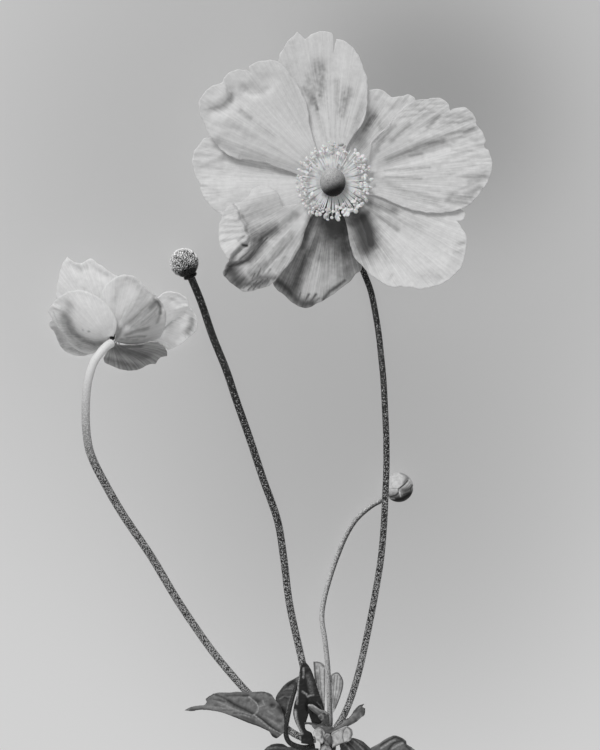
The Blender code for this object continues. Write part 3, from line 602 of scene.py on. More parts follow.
# %% The right tepal
TEPALS["tepal_right"] = dict(
    layer=3, turn=6, pleats=0.1, crinkle=0.12, shade=0.13,
    outline=[(5.6, 3.3), (7.3, 4.7), (8.7, 6.6), (9.2, 8.4), (9.5, 10.0), (12.8, 12.8), (15.3, 15.9),
        (17.9, 18.4), (20.4, 20), (23, 20.4), (25.5, 20.6), (27.6, 20.2), (28.8, 18.7), (29, 17.4),
        (30.1, 17.9), (32.7, 18.2), (34.7, 16.7), (35.5, 14.9), (35.7, 13.8), (37.3, 11.8), (37.9, 10.3),
        (37.7, 8.5), (38.5, 7.5), (39.5, 5.2), (39.4, 2.6), (38.3, -0.4), (36.2, -3.5), (34.2, -5.5),
        (32.4, -6.8), (29.6, -7.6), (26.5, -8), (23, -7.8), (19.4, -7.1), (15.8, -5.8), (12.8, -4.4),
        (9.5, -3.2), (6.4, -2.2)],
    folds=[(2, -0.9, 12, 3, 28, 8.5), (1.8, 1.2, 9, 8, 13, 13.5), (2, -0.4, 34, -6, 38, 0)],
    flaps=[(0.7, 1.6, 9.2, 5.8, 9.6, 9.4, 13.7, 13.9)],
    creases=[(0.8, -0.3, 20, 6, 29, 8.2), (0.9, -0.3, 24, 13.4, 26, 15), (0.8, -0.2, 28, 4.5, 34, 7),
        (0.8, -0.25, 30, 9.5, 36, 12.5), (0.9, 0.25, 31, 1, 38, 3), (0.9, -0.4, 30, -3.5, 36, -1),
        (0.8, -0.35, 9.6, 3.5, 11.5, 9.5), (0.8, -0.2, 31, 14, 34.5, 15), (1.0, 0.3, 20, 10, 33, 13),
        (0.7, 0.25, 28, 16.5, 32, 17), (0.7, -0.25, 29, 1, 35, 0.6), (0.8, 0.25, 14, 11, 24, 17.6)],
    # Its flush strokes are mostly painted shade: in its furrows, along its lower right rim where it turns
    # down, and along its rolled lower margin.
    flush=[(0.9, 0.4, 13.6, 5.4, 18, 7.2, 23.4, 9.2, 27.2, 10), (0.5, 0.4, 20.2, 7.6, 23.4, 9),
        (0.6, 0.4, 23.6, 13.4, 26.6, 16.2), (0.5, 0.3, 19, 6.4, 22, 6.8), (0.6, 0.3, 14.4, 10, 19, 14.4),
        (1.1, 0.4, 29, -4.4, 34, -4.6), (0.9, 0.4, 33, -3.4, 36.4, -1.8), (0.5, 0.4, 32.6, 12, 35, 13.2),
        (0.4, 0.35, 31, 14.4, 34.6, 15.4), (0.4, 0.3, 28, 11.4, 32, 12.4), (1, 0.3, 34, 0, 37.6, 1),
        (2.6, 0.14, 22, 17.6, 28, 16, 34, 13), (0.6, 0.3, 11, 7.4, 12.4, 10.6, 15.4, 13.6),
        (0.4, 0.3, 13, 1, 22, 0.6), (0.4, 0.3, 13, 2.6, 24, 3.4), (1, 0.22, 10, 1.6, 18, -2.6, 26, -5)])
print("drawn:", "tepal_right")

# %% The tepal at the low right
TEPALS["tepal_low_right"] = dict(
    layer=2, turn=-46, pleats=0.025, crinkle=0.08, shade=0.1,
    outline=[(2.6, -8.2), (3.3, -10.6), (4.1, -14.7), (5.1, -18.3), (6.9, -20.9), (9.2, -23.1),
        (10.7, -24.4), (12.8, -25.7), (14.8, -26.5), (16.9, -26.4), (19.9, -26.6), (23, -26.9),
        (25, -26.4), (27.6, -25.4), (29.6, -23.9), (31.4, -22.1), (32.4, -20.3), (32.9, -17.8),
        (33.2, -15.2), (32.9, -13.2), (31.9, -11.4), (30.9, -10.1), (32.4, -9.6), (32.8, -8.1),
        (32.2, -7.1), (28, -5.8), (20, -5), (14, -4), (7, -3)],
    folds=[(3, -0.6, 8, -10, 12, -22), (2, 0.5, 28, -22, 33, -12)],
    creases=[(1.5, -0.4, 8, -8, 9.8, -17), (0.9, 0.14, 12, -8, 26, -13), (0.9, -0.2, 24, -23, 27, -24.5),
        (0.7, -0.2, 30.5, -17, 32.5, -16)],
    # The first two flush strokes are the painted shadow of the ball and the stamens on its foot, and the
    # one along the right tepal's lower edge is that edge's painted shadow.
    flush=[(3.3, 0.88, 5, -7, 6.8, -12, 8.2, -16.6), (2.6, 0.97, 7.4, -9, 8.9, -12.6, 9.4, -15.6),
        (2.2, 0.3, 6.4, -16, 8, -20.5), (1.3, 0.55, 6.5, -4.6, 10, -6, 15.5, -7.6),
        (0.8, 0.4, 9.5, -7.6, 16, -12), (1.4, 0.2, 10, -7.5, 22, -11.5), (1.6, 0.2, 10, -12, 13.5, -19),
        (0.5, 0.2, 30, -18, 32, -17.4), (0.4, 0.2, 31, -15.6, 32.6, -15.4),
        (1.2, 0.16, 22.5, -23.6, 26, -24.4), (0.4, 0.16, 14, -24.6, 15, -23)])
print("drawn:", "tepal_low_right")

# %% The tepal at the bottom
TEPALS["tepal_bottom"] = dict(
    layer=1, turn=-91, pleats=0.04, crinkle=0.1, shade=0.34, mottle=0.08,
    outline=[(-4, -6.5), (-7, -11), (-11, -17), (-14.5, -23), (-15, -25.4), (-13.8, -27), (-11.7, -28.8),
        (-9.7, -30.5), (-7.6, -31.6), (-6.1, -31.5), (-3.6, -30.3), (-1, -28.8), (1.5, -27), (4.1, -24.9),
        (6.1, -22.9), (6.9, -22.1), (7.6, -18), (6.8, -13), (4, -7.5)],
    folds=[(3.5, 1.5, -4, -14, -5, -30)],
    creases=[(1.4, -0.4, -2.2, -9.6, -4.7, -16.3, -7.2, -20.1, -9.7, -27), (1.4, -0.25, 3, -12, 5, -21),
        (0.8, 0.3, -5.2, -22, -7.2, -28), (0.7, 0.25, -10.7, -21, -13.2, -24.4),
        (0.8, -0.2, -3, -27, -1, -28.5)],
    # Its flush strokes are mostly painted shade: the shadow of the ball and the stamens on its foot, the
    # shadow of the curled tepal's edge along its left side, and shade where it curls back from the light;
    # its negative strokes take painted shade away where its middle faces the light.
    flush=[(6.6, 1.0, 0, -4, 0.6, -11.6), (4.4, 0.84, 0.5, -12, 3, -16.5),
        (2.0, 0.7, -3.6, -8, -6.4, -13, -8, -16), (1.8, 0.74, -2.2, -9.6, -4.7, -16.3, -7.2, -20.1),
        (1.6, -0.24, -3.4, -21.6, -5.8, -26, -7.4, -28.4), (1.4, -0.2, -0.4, -24, -3.4, -27),
        (2.0, 0.74, -7.2, -20.1, -8.7, -23.6, -9.7, -27.5), (2.8, 0.42, -5, -12, -9, -19, -12, -24),
        (0.6, 0.8, -4.2, -7.8, -7.2, -12.1, -9.5, -16.6, -12.5, -21.6, -15, -24.6),
        (2.6, 0.52, 5.4, -11, 6.2, -16, 5.4, -20.5), (2.4, 0.46, 2.2, -15, 3.4, -19, 3.4, -23),
        (2.4, 0.34, -2, -15, -3.4, -19.6),
        (1.4, 0.85, -13.6, -25, -11.3, -26.8, -9, -29.4, -7.3, -30.6, -5.4, -30.4),
        (0.34, 0.9, -8.7, -30, -8, -27.8), (0.34, 0.9, -7.4, -30.6, -6, -28.2),
        (0.32, 0.85, -5.9, -30.4, -4.3, -28.2), (0.3, 0.6, -4.6, -30.2, -3.6, -29.2),
        (0.5, 0.5, -12.6, -25.6, -12.2, -23.6), (0.4, 0.5, -11, -26.6, -10.8, -25),
        (0.55, 0.8, -2.4, -29.4, -0.8, -27.4, 1.2, -26.1, 2.9, -24.7)])
print("drawn:", "tepal_bottom")

# %% The curled tepal at the low left
TEPALS["tepal_low_left"] = dict(
    layer=3, turn=-139, pleats=0.08, crinkle=0.16, shade=0.09,
    outline=[(-7.6, -5.3), (-12.7, -6.3), (-13.8, -3), (-15.8, -1.5), (-17.8, -1), (-19.4, -1.7),
        (-21.4, -4), (-23.5, -5.5), (-25.2, -5.8), (-26.8, -7.1), (-28, -9.9), (-28.6, -13.7),
        (-28, -16.3), (-26.8, -18.8), (-26, -19.8), (-27.3, -22.6), (-26.5, -24.4), (-24.5, -26.2),
        (-21.9, -27.7), (-19.4, -27.2), (-16.3, -26.2), (-14.8, -25.2), (-12.7, -22.9), (-10.2, -19.8),
        (-8.1, -16.3), (-7.1, -12.7), (-5.9, -9.6), (-5.3, -7.6)],
    folds=[(2.6, 1.0, -15.5, -3.4, -23, -6), (2.4, -0.7, -12, -8.5, -19.5, -10),
        (2.6, 1.0, -10, -12.6, -17, -19.6), (1.6, 0.8, -19.5, -22, -24.5, -24.6)],
    flaps=[(1.9, 4.6, -25.7, -19.8, -25.2, -18.5, -23.9, -17, -22.5, -15.9, -21.3, -15, -20.8, -13.7,
         -21.8, -12.7, -21.85, -11, -23.2, -9.7, -23.6, -7.6, -24.6, -6.2),
        (0.9, 1.2, -25, -20.3, -23.6, -20.1, -22.9, -19.2, -21.3, -17.8, -20.5, -16.6, -20.5, -15.8),
        (0.6, 0.8, -22.2, -19.7, -21.2, -18.9, -20, -17.6, -19.9, -16.4)],
    creases=[(1.4, -1.4, -13.5, -12.2, -16.7, -14, -18.4, -16.2, -19.6, -18, -20.9, -19.9, -22.6, -20.5,
         -25.6, -21.4), (1.2, -0.5, -9, -9, -13.5, -12.2), (0.5, -0.5, -22.7, -15.8, -21.8, -16),
        (0.6, 0.5, -18.1, -14, -19, -15.6), (1.4, -0.25, -21.3, -25, -18.4, -24, -16.2, -24),
        (0.3, 0.16, -27.2, -9.3, -24, -9.7), (0.3, 0.16, -27.6, -11, -22.6, -11.2),
        (0.3, 0.18, -27.8, -12.6, -22.6, -12), (0.3, -0.16, -27.8, -13.4, -22.4, -13),
        (0.3, -0.25, -27.2, -15.4, -25, -14.8, -22.6, -14.4), (0.3, 0.2, -27.4, -14.5, -22.8, -13.7),
        (0.4, 0.25, -20.8, -26.8, -18.4, -24.8), (0.4, 0.25, -18.6, -26.6, -16.6, -24.9),
        (0.35, 0.2, -13, -16, -18.4, -22.4), (0.35, -0.2, -12, -16.6, -17.2, -22.8),
        (0.35, 0.2, -10.4, -14, -15.4, -20)],
    # Its flush strokes are mostly painted shade: in its furrows and between its curls, beside the flaps of
    # its curled margin, and along its right edge.
    flush=[(1.5, 0.5, -9.4, -8.4, -14.3, -12), (1.8, 0.76, -14.3, -12.2, -17, -13.8, -19.4, -14.8),
        (0.9, 0.5, -5.6, -8.8, -6.9, -12.7, -8, -16.3, -10.1, -19.8, -12.6, -22.9, -14.6, -25),
        (1.8, 0.78, -17.6, -15, -19.4, -17.6, -21, -19.4),
        (0.5, 0.92, -16.4, -14.2, -18.4, -16.4, -19.8, -18.4, -21.2, -19.8),
        (1.0, 0.85, -21.2, -19.8, -23.4, -20.7, -25.8, -21.4), (0.9, 0.6, -17.6, -13, -19.8, -13.6),
        (3.0, 0.85, -25.6, -22.6, -23.6, -25.2), (1.4, 0.78, -22, -25.8, -19, -25.8, -16.4, -24.8),
        (0.5, 0.6, -20.3, -13.2, -20, -15, -19.8, -16.2), (0.7, 0.3, -21, -19.4, -21.3, -21.4),
        (0.45, 0.42, -22.8, -8.4, -22.2, -9.6, -21.3, -10.9, -21.5, -12.7),
        (1.2, 0.2, -21.5, -9.5, -20.4, -12.8), (0.4, 0.95, -22.6, -15.9, -21.4, -16.2),
        (0.3, 0.5, -23.6, -14.9, -22, -13.8),
        (0.4, 0.55, -20.5, -16.9, -21.3, -17.9, -22.9, -19.3, -23.6, -20.2),
        (0.6, 0.5, -23.2, -17, -24.2, -18, -25.2, -19.2), (0.9, 0.6, -21.6, -24.6, -23, -25.6),
        (1.1, 0.72, -21, -25.4, -19.2, -24.5, -17.6, -24, -15.8, -24.2, -14.6, -24.2),
        (0.3, 0.75, -20.2, -24.4, -19.5, -23), (0.3, 0.8, -19, -23.8, -18, -21.8),
        (0.3, 0.5, -17.8, -23.6, -17.2, -22.2), (0.3, 0.5, -16.6, -23.6, -15.6, -22),
        (0.3, 0.85, -22.4, -26.8, -20, -24.8), (0.28, 0.9, -21.2, -27.2, -18.8, -24.8),
        (0.28, 0.85, -19.9, -27, -17.6, -24.6), (0.28, 0.9, -18.6, -26.6, -16.4, -24.4),
        (0.25, 0.5, -17.2, -26, -15.4, -24.2), (0.25, 0.3, -14.4, -23.8, -16, -25.4, -18, -26.6),
        (0.4, 0.3, -25.8, -24.8, -23.2, -22.8), (1, 0.1, -18.2, -1.6, -18, -3.4),
        (2.0, 0.48, -12, -11, -16.5, -11.8, -20, -12.6), (1.4, 0.12, -9, -6.5, -14, -8.6, -20, -9),
        (1.6, 0.16, -20.6, -11.6, -15, -10.8), (1.4, 0.5, -17, -20.5, -20.5, -23),
        (0.6, 0.3, -12, -19, -14, -22.6), (2.4, 0.32, -11, -14, -17, -20)])
print("drawn:", "tepal_low_left")

# %% The left tepal
TEPALS["tepal_left"] = dict(
    layer=1, turn=179, pleats=0.08, crinkle=0.1, shade=0.02,
    outline=[(-6.5, 2.2), (-12, 6), (-20, 10), (-27, 11.5), (-30.6, 11), (-32.6, 10.3), (-33.4, 9),
        (-34.7, 7.2), (-35.1, 4.7), (-34.4, 1.6), (-33.1, -1), (-32.7, -3), (-30.6, -6.1), (-28.6, -7.8),
        (-27.6, -8.4), (-22, -9.2), (-15, -8.8), (-9.5, -7.2), (-5.5, -4)],
    folds=[(3, -0.8, -12, 2, -32, 3)],
    creases=[(1, -0.25, -27, 5.2, -14, 2.8), (0.8, 0.2, -33, 4, -28, 6.5), (0.9, 0.2, -31, -2.5, -25, -2)],
    # The first two flush strokes are painted shadow under the edge of the tepal at the top left.
    flush=[(1.0, 0.2, -27, 6, -18, 3.4, -10, 1.9), (0.8, 0.16, -22, 3.4, -15, 2.2),
        (0.5, 0.12, -34, -0.6, -29, -2.4), (0.4, 0.1, -32, -4, -27, -5.6), (0.6, 0.1, -33.6, 4.6, -28, 3)])
print("drawn:", "tepal_left")

# %% The tepal at the top left
TEPALS["tepal_top_left"] = dict(
    layer=3, turn=141, pleats=0.02, crinkle=0.1, shade=0.04,
    outline=[(-4.3, 8.5), (-5.3, 11.8), (-6, 14.9), (-6.4, 18.4), (-7.6, 21.5), (-9.7, 25.1),
        (-11.7, 27.9), (-13.8, 29.6), (-15.8, 30.2), (-17.3, 30), (-19.4, 29.4), (-20.9, 28.4),
        (-20.6, 26.9), (-21.4, 27.4), (-23.5, 27.7), (-25.5, 27.1), (-27.3, 25.6), (-27.8, 24.3),
        (-30.1, 23.5), (-32.1, 22), (-33.3, 20), (-33.4, 17.9), (-32.9, 15.9), (-31.6, 13.3),
        (-30.6, 11.3), (-28.8, 8.7), (-27, 7), (-24.5, 5.7), (-20.9, 5.1), (-17.8, 4.7), (-14.3, 3.6),
        (-10.7, 2.4), (-8.1, 1.5)],
    folds=[(2.5, -0.8, -24, 20, -30, 17), (2, -0.6, -16, 25, -22, 22), (3, 0.5, -8, 8, -26, 19),
        (1.9, -1.5, -28.5, 8.4, -24, 5.2, -17, 4.2, -9, 1.6)],
    flaps=[(0.4, 2.0, -29.6, 18.3, -27.6, 18.8, -26, 20.6, -26.4, 22.4)],
    creases=[(1.2, -0.45, -25.4, 22.4, -25.2, 20.2, -27, 18.4, -29.6, 17.6),
        (1.4, -0.3, -22.4, 17.4, -20.2, 15.4), (1.0, -0.35, -22.4, 23, -19.6, 21.9, -16.4, 22.6),
        (1.4, 0.3, -21, 24.6, -17.5, 23.8), (1.2, 0.3, -27.6, 21, -29, 20),
        (1.0, -0.2, -29, 13.6, -24, 12.6), (1.2, 0.25, -26, 15.6, -20, 12), (1.0, 0.2, -29, 11, -23, 9)],
    # Its flush strokes are painted shade in its dents and creases and beside its raised flap.
    flush=[(0.8, 0.42, -25.3, 21.6, -25.6, 19.8), (0.9, 0.3, -26.6, 18.6, -29, 17.6),
        (0.7, 0.34, -23, 17.4, -20.6, 15.6), (0.6, 0.2, -22, 22.6, -19.6, 21.7, -17, 22.2),
        (0.8, 0.16, -20.4, 15.4, -15, 11.4), (1.6, 0.09, -27, 15, -21, 12),
        (0.6, 0.16, -22.6, 24, -21.4, 22.8), (0.5, 0.14, -24, 9, -17, 6.4),
        (0.8, 0.12, -27, 12, -22, 10.4), (0.3, 0.14, -13, 11, -7, 5.4), (0.3, 0.12, -16, 9, -8.4, 4.4)])
print("drawn:", "tepal_top_left")

# %% From the claw to the pleats
PLEAT_FROM = 10
PLEAT_COUNT, PLEAT_SWAY, PLEAT_SHARE = 88, 8, 0.5
SWAY_SIZE = (9, 14)
WRINKLE_SIZE, WRINKLE_ROUGHNESS, WRINKLE_SHARE, WRINKLE_SEED_STEP = (1.15, 3.6), 0.7, 2.2, 5.7
CALM_SHARE, RIM_REACH = 0.3, 6.5


def with_claw(outline, turn, at, width):
    """Close a tepal's outline at its narrow foot, whichever way round its points run."""
    out = Vector((math.cos(math.radians(turn)), math.sin(math.radians(turn))))
    across = Vector((out.y, -out.x))
    right, left = (tuple(out * at + across * side * width / 2) for side in (1, -1))
    first = Vector(outline[0])
    nearer_right = (first - Vector(right)).length < (first - Vector(left)).length
    return [right] + outline + [left] if nearer_right else [left] + outline + [right]


def fan_map(points, turn):
    """A map for lines that run from the foot to the rim: the angle across, the reach along."""
    angle = np.arctan2(points[:, 1], points[:, 0]) - math.radians(turn)
    angle = (angle + math.pi) % FULL_TURN - math.pi
    reach = np.hypot(points[:, 0], points[:, 1])
    return np.column_stack([angle, reach / BLOOM_REACH]), angle, reach


def pleats(angle, reach, rim, height, seed, start, full):
    """Fine pleats and wrinkles that fan out from the foot and grow between two distances from it."""
    spots = list(zip(angle * np.maximum(reach, PLEAT_FROM), reach))
    sway = np.array([noise.noise(Vector((a / SWAY_SIZE[0], r / SWAY_SIZE[1], seed))) for a, r in spots])
    waves = np.sin(angle * PLEAT_COUNT + sway * PLEAT_SWAY) * PLEAT_SHARE
    wide, long = WRINKLE_SIZE
    level = seed * WRINKLE_SEED_STEP
    wrinkles = np.array([noise.fractal(Vector((a / wide, r / long, level)), WRINKLE_ROUGHNESS, *LAYERS)
                         for a, r in spots])
    near_rim = CALM_SHARE + (1 - CALM_SHARE) * np.exp(-(rim / RIM_REACH) ** 2)
    return height * (waves + WRINKLE_SHARE * wrinkles) * near_rim * smooth_step(reach, start, full)


# %% Build the eight tepals
OPEN_SEED = 1.5
RIM_WAVE, RIM_WAVE_SIZE, RIM_WAVE_FROM = 0.3, 1.6, 12
PLEATS_START, PLEATS_FULL = 12, 30
CRINKLE_SIZE, CRINKLE_START, CRINKLE_FULL = 4.2, 9, 28
MOTTLE_SIZE = 0.9
DROOP_FROM, DROOP_BACK, DROOP_SIDE = 9.0, 0.022, 0.11
DROOP_MIDDLE, DROOP_FLAT = -3, 2
TIP_CURVE, SIDE_CURVE = 1.8, 1.6


def droop(points, reach):
    """The bottom tepal hangs down towards its tip and both its sides."""
    fall = DROOP_BACK * np.maximum(0, reach - DROOP_FROM) ** TIP_CURVE
    beside = np.maximum(0, np.abs(points[:, 0] - DROOP_MIDDLE) - DROOP_FLAT)
    return fall + DROOP_SIDE * beside ** SIDE_CURVE


def open_tepal(name, tepal, seed):
    """One tepal of the open bloom, from its row in the table to the finished piece."""
    outline = smooth_outline(with_claw(tepal["outline"], tepal["turn"], CLAW_AT, CLAW_WIDTH), PETAL_GRID)
    outline = ragged(outline, RIM_WAVE, RIM_WAVE_SIZE, seed, RIM_WAVE_FROM)
    points, faces, rim = fine_sheet(np.minimum(outline, BLOOM_LIMIT), PETAL_GRID)
    uv, angle, reach = fan_map(points, tepal["turn"])
    layer = tepal["layer"]
    height = LAYER_Z[layer] + DISH_RISE * (reach / BLOOM_REACH) ** DISH_CURVE
    height += (layer - 1) * LAYER_SPREAD * reach
    height += strokes(points, tepal["folds"]) + strokes(points, tepal["creases"])
    height += flaps(points, tepal.get("flaps", []))
    height += pleats(angle, reach, rim, tepal["pleats"], seed, PLEATS_START, PLEATS_FULL)
    grown = smooth_step(reach, CRINKLE_START, CRINKLE_FULL)
    height += tepal["crinkle"] * clouds(points, CRINKLE_SIZE, seed) * grown
    if name == "tepal_bottom":
        height -= droop(points, reach)
    # The flush marks and the shade all over are one painted tone: the tepal's own flush and painted shade.
    flush = MARK_DEPTH * strokes(points, tepal["flush"])
    flush *= 1 + tepal.get("mottle", 0) * clouds(points, MOTTLE_SIZE, tepal["turn"])
    flush = np.clip(1 - (1 - tepal["shade"]) * (1 - flush), 0, 1)
    places = np.column_stack([points, height]) + BLOOM_AT
    mesh = sheet_mesh(name, places, faces, uv, flush=flush)
    return thicken(add_piece(name, mesh, tepal_skin), TEPAL_THICKNESS)


for seed, (name, tepal) in enumerate(TEPALS.items()):
    report(open_tepal(name, tepal, seed + OPEN_SEED))

# %% [markdown]
# ## The nodding bloom
# The half-open bloom hangs over its stem and shows the backs of its tepals. They form a bowl about
# the bloom's own axis, and that axis leans over. Their outlines are drawn as seen from above, so
# each point is first carried onto the bowl: a fixed-point loop finds the place on the bowl that is
# seen there. Flare holds where a tepal starts to bend outward, and how strongly.

# %% Sizes of the nodding bloom
BOWL_AT = Vector((-39.3, 16.85, 17.95))
BOWL_TILT = math.radians(40.5)
BOWL_TURN = Matrix.Rotation(BOWL_TILT, 3, "X")
BOWL_REACH, BOWL_DEPTH, BOWL_CURVE = 19.0, 11.5, 1.5
BOWL_BASE = 1.3
BOWL_LAYER, BOWL_SPREAD = 1.1, 0.03
BOWL_CLAW_AT, BOWL_CLAW_WIDTH = 0.85, 0.9
BOWL_GRID = 0.3
BOWL_TEPALS = {}
print("the bowl leans by", round(math.degrees(BOWL_TILT), 1), "degrees")

# %% The left tepal of the nodding bloom
BOWL_TEPALS["half_tepal_left"] = dict(
    layer=0, turn=143, flare=(8, 0.0),
    outline=[(0.35, 1.5), (0.9, 2.8), (1.2, 4.2), (1.1, 5.6), (-0.3, 8.4), (-3, 11.1), (-6, 12.7),
        (-8.7, 13.2), (-11.7, 12.5), (-14.1, 10.6), (-15.9, 8.7), (-15.8, 7.4), (-12.8, 3), (-11.1, 0.5),
        (-9.2, -1.4), (-7.3, -2.3), (-4.1, -2.4), (-2.2, -1.6), (-0.9, -0.4)],
    creases=[(1.9, -0.8, -11.2, 8.4, -11.3, 5.9, -10.6, 4, -9.4, 2.2, -7.3, 0.6, -4.2, -0.4, -1.4, -0.3),
        (0.7, 0.35, -14.2, 7, -12.2, 2.2, -8, -1.2), (0.6, 0.35, -14.6, 9.2, -13.4, 8.6),
        (3.4, 0.5, -7.4, 8, -4.6, 5)],
    # Its dark crescent and the dark round its foot are painted shade.
    flush=[(1.3, 0.34, -10.4, 9.6, -11.3, 5.9),
        (1.8, 0.74, -11.6, 6, -11, 4, -9.7, 1.9, -7.4, 0.2, -4.2, -0.9, -1.6, -0.6),
        (0.45, 0.24, -10.9, 5, -9.2, 2.4, -7.2, 0.8, -4.2, -0.2),
        (1.9, 0.55, -12.2, 5.6, -11, 2.2, -8, -0.6, -3.8, -1.4),
        (0.3, 0.34, -14.6, 7.6, -12.7, 3.2, -9.2, -0.4, -4, -1.7),
        (0.25, 0.25, -13.6, 6.2, -11.6, 2, -8.2, -0.9), (0.26, 0.5, -7.3, 3.3, -7.2, 3.1),
        (0.25, 0.5, -5.9, 2.9, -5.7, 3), (0.8, 0.4, -1.2, 0.3, -0.2, 0.6),
        (0.5, 0.12, -10.2, 9.4, -9.8, 6.4), (1.4, 0.12, -3, 2.2, -1.4, 4)])
print("drawn:", "half_tepal_left")

# %% The right tepal of the nodding bloom
BOWL_TEPALS["half_tepal_right"] = dict(
    layer=1, turn=48, flare=(8, 0.0),
    outline=[(-0.2, 1.9), (-1, 5), (-3, 10.4), (-1.9, 13.8), (0.3, 16), (2.4, 16.9), (4.9, 16.8),
        (7, 15.5), (9.2, 13), (11.1, 11.4), (12.5, 9.5), (13.3, 7), (13, 4.3), (11.9, 1.6), (8.9, 0.3),
        (4.9, -0.3), (2.4, -0.1), (0.9, 0.5)],
    creases=[(0.8, -0.4, 1.6, 14.2, 4, 15.4, 6.6, 14.4), (0.7, -0.5, 7, 13.6, 10, 11),
        (0.9, -0.7, 10.2, 10.8, 12, 8.4), (0.8, -0.4, 12, 8.4, 11.6, 5.5), (0.9, -0.45, 3.4, 4, 10, 10),
        (0.8, -0.3, 3.3, 14.9, 0.8, 12.9), (0.5, -0.2, 5, 3.6, 9, 7.2), (1.4, 0.4, 3.2, 7.6, 6.6, 12)],
    flaps=[(0.22, 1.2, 11.2, 11, 9.3, 11.9, 5.6, 10.6, 3.4, 8.8, 2.3, 6.4, 1.4, 3)],
    flush=[(0.5, 0.62, 10.4, 10.4, 11.4, 10), (0.5, 0.8, 11.2, 10.2, 11.9, 8.4, 11.9, 7),
        (0.5, 0.4, 11.9, 7, 11.2, 5), (0.9, 0.3, 3.6, 14.9, 1.6, 13.2, 0.6, 10.6),
        (0.8, 0.3, 3.4, 15.1, 5.8, 14.6, 7.2, 12.8), (0.5, 0.3, 8.8, 11.9, 5.4, 10.6, 3.2, 8.6, 2, 6),
        (0.9, 0.16, 7.4, 12, 4, 10), (1.0, 0.75, 11, 10, 9.4, 8.6), (0.9, 0.5, 9.6, 8.8, 7, 6.8, 4.6, 4.6),
        (0.4, 0.45, 11, 8.2, 8.4, 6, 5.6, 3.6), (0.3, 0.4, 10, 9.8, 7, 7.8),
        (0.3, 0.35, 10.6, 7.2, 8, 4.6), (0.3, 0.35, 8, 4.8, 5, 2.8), (0.7, 0.55, 3.4, 2, 6, 3, 8.6, 3.6),
        (0.5, 0.5, 3.6, 1.2, 6, 1.6, 8, 1.6), (0.6, 0.4, 2.2, 0.9, 6, 0.8),
        (0.3, 0.3, 10.8, 6.6, 7.6, 4.2), (0.35, 0.3, 0.9, 0.4, 2.4, -0.1, 4.9, -0.3, 8.9, 0.3),
        (0.7, 0.55, 0.5, 1, 1.4, 1.8, 2, 3.4), (0.9, 0.12, -0.8, 6, 0.6, 9.6)])
print("drawn:", "half_tepal_right")

# %% The two tepals behind them
BOWL_TEPALS["half_tepal_back"] = dict(
    layer=2, turn=98, flare=(8, 0.0),
    outline=[(-5, 6.5), (-10, 9.5), (-14.1, 11.4), (-13.9, 14), (-13.3, 16.3), (-13, 18.4), (-11.3, 21.7),
        (-10, 20.3), (-8.2, 19.9), (-6.8, 20.3), (-5.3, 21.1), (-3.5, 19.8), (-0.3, 17.6), (3, 15), (3, 9),
        (1, 6.5)],
    creases=[(0.9, -0.5, -10, 19.6, -7.6, 17.2), (0.9, -0.3, -7.6, 17.2, -6, 19),
        (0.9, -0.45, -4.6, 18, -0.8, 15.8), (0.6, 0.3, -7.2, 14.2, -7, 17),
        (0.9, 0.3, -11.4, 20.2, -12.6, 14)],
    flush=[(0.7, 0.24, -10.7, 19.4, -8.2, 17.9, -6.2, 18.7), (0.7, 0.22, -3.7, 17.9, -1.2, 16.7),
        (0.5, 0.1, -5.4, 19.6, -5.2, 18.4), (4, 0.1, -8, 15.4, -3, 14)])
BOWL_TEPALS["half_tepal_far_right"] = dict(
    layer=2, turn=4, flare=(13, 0.11),
    outline=[(5, 6), (10, 10), (12.5, 12.5), (14.1, 12.9), (16.3, 12.5), (18.2, 11.4), (18.7, 10.4),
        (19, 9.2), (20.7, 7), (21.1, 5.4), (20.9, 3.5), (19.2, 1.6), (16.3, -0.5), (13.7, -1.6), (8, 0.8)],
    creases=[(0.9, -0.6, 13.2, 3.6, 17.8, 7.2), (0.8, -0.3, 15, 10.6, 16.4, 11.6),
        (0.9, 0.3, 14, 1.2, 19, 4.6), (0.6, 0.3, 16, 8.6, 18.4, 9.4)],
    flush=[(0.6, 0.5, 12.8, 3.4, 14.6, 4.8), (0.6, 0.3, 14.6, 4.8, 16.8, 6),
        (0.5, 0.25, 14, 11.2, 16.8, 9.6), (0.9, 0.62, 19.8, 5.8, 19.4, 3.8, 18.6, 2.6),
        (1.6, 0.16, 15, 4, 17, 7), (0.3, 0.3, 17.4, 2.8, 18.2, 1.6), (0.25, 0.35, 18.9, 9.4, 20.2, 7.6)])
print("drawn:", "half_tepal_back", "half_tepal_far_right")

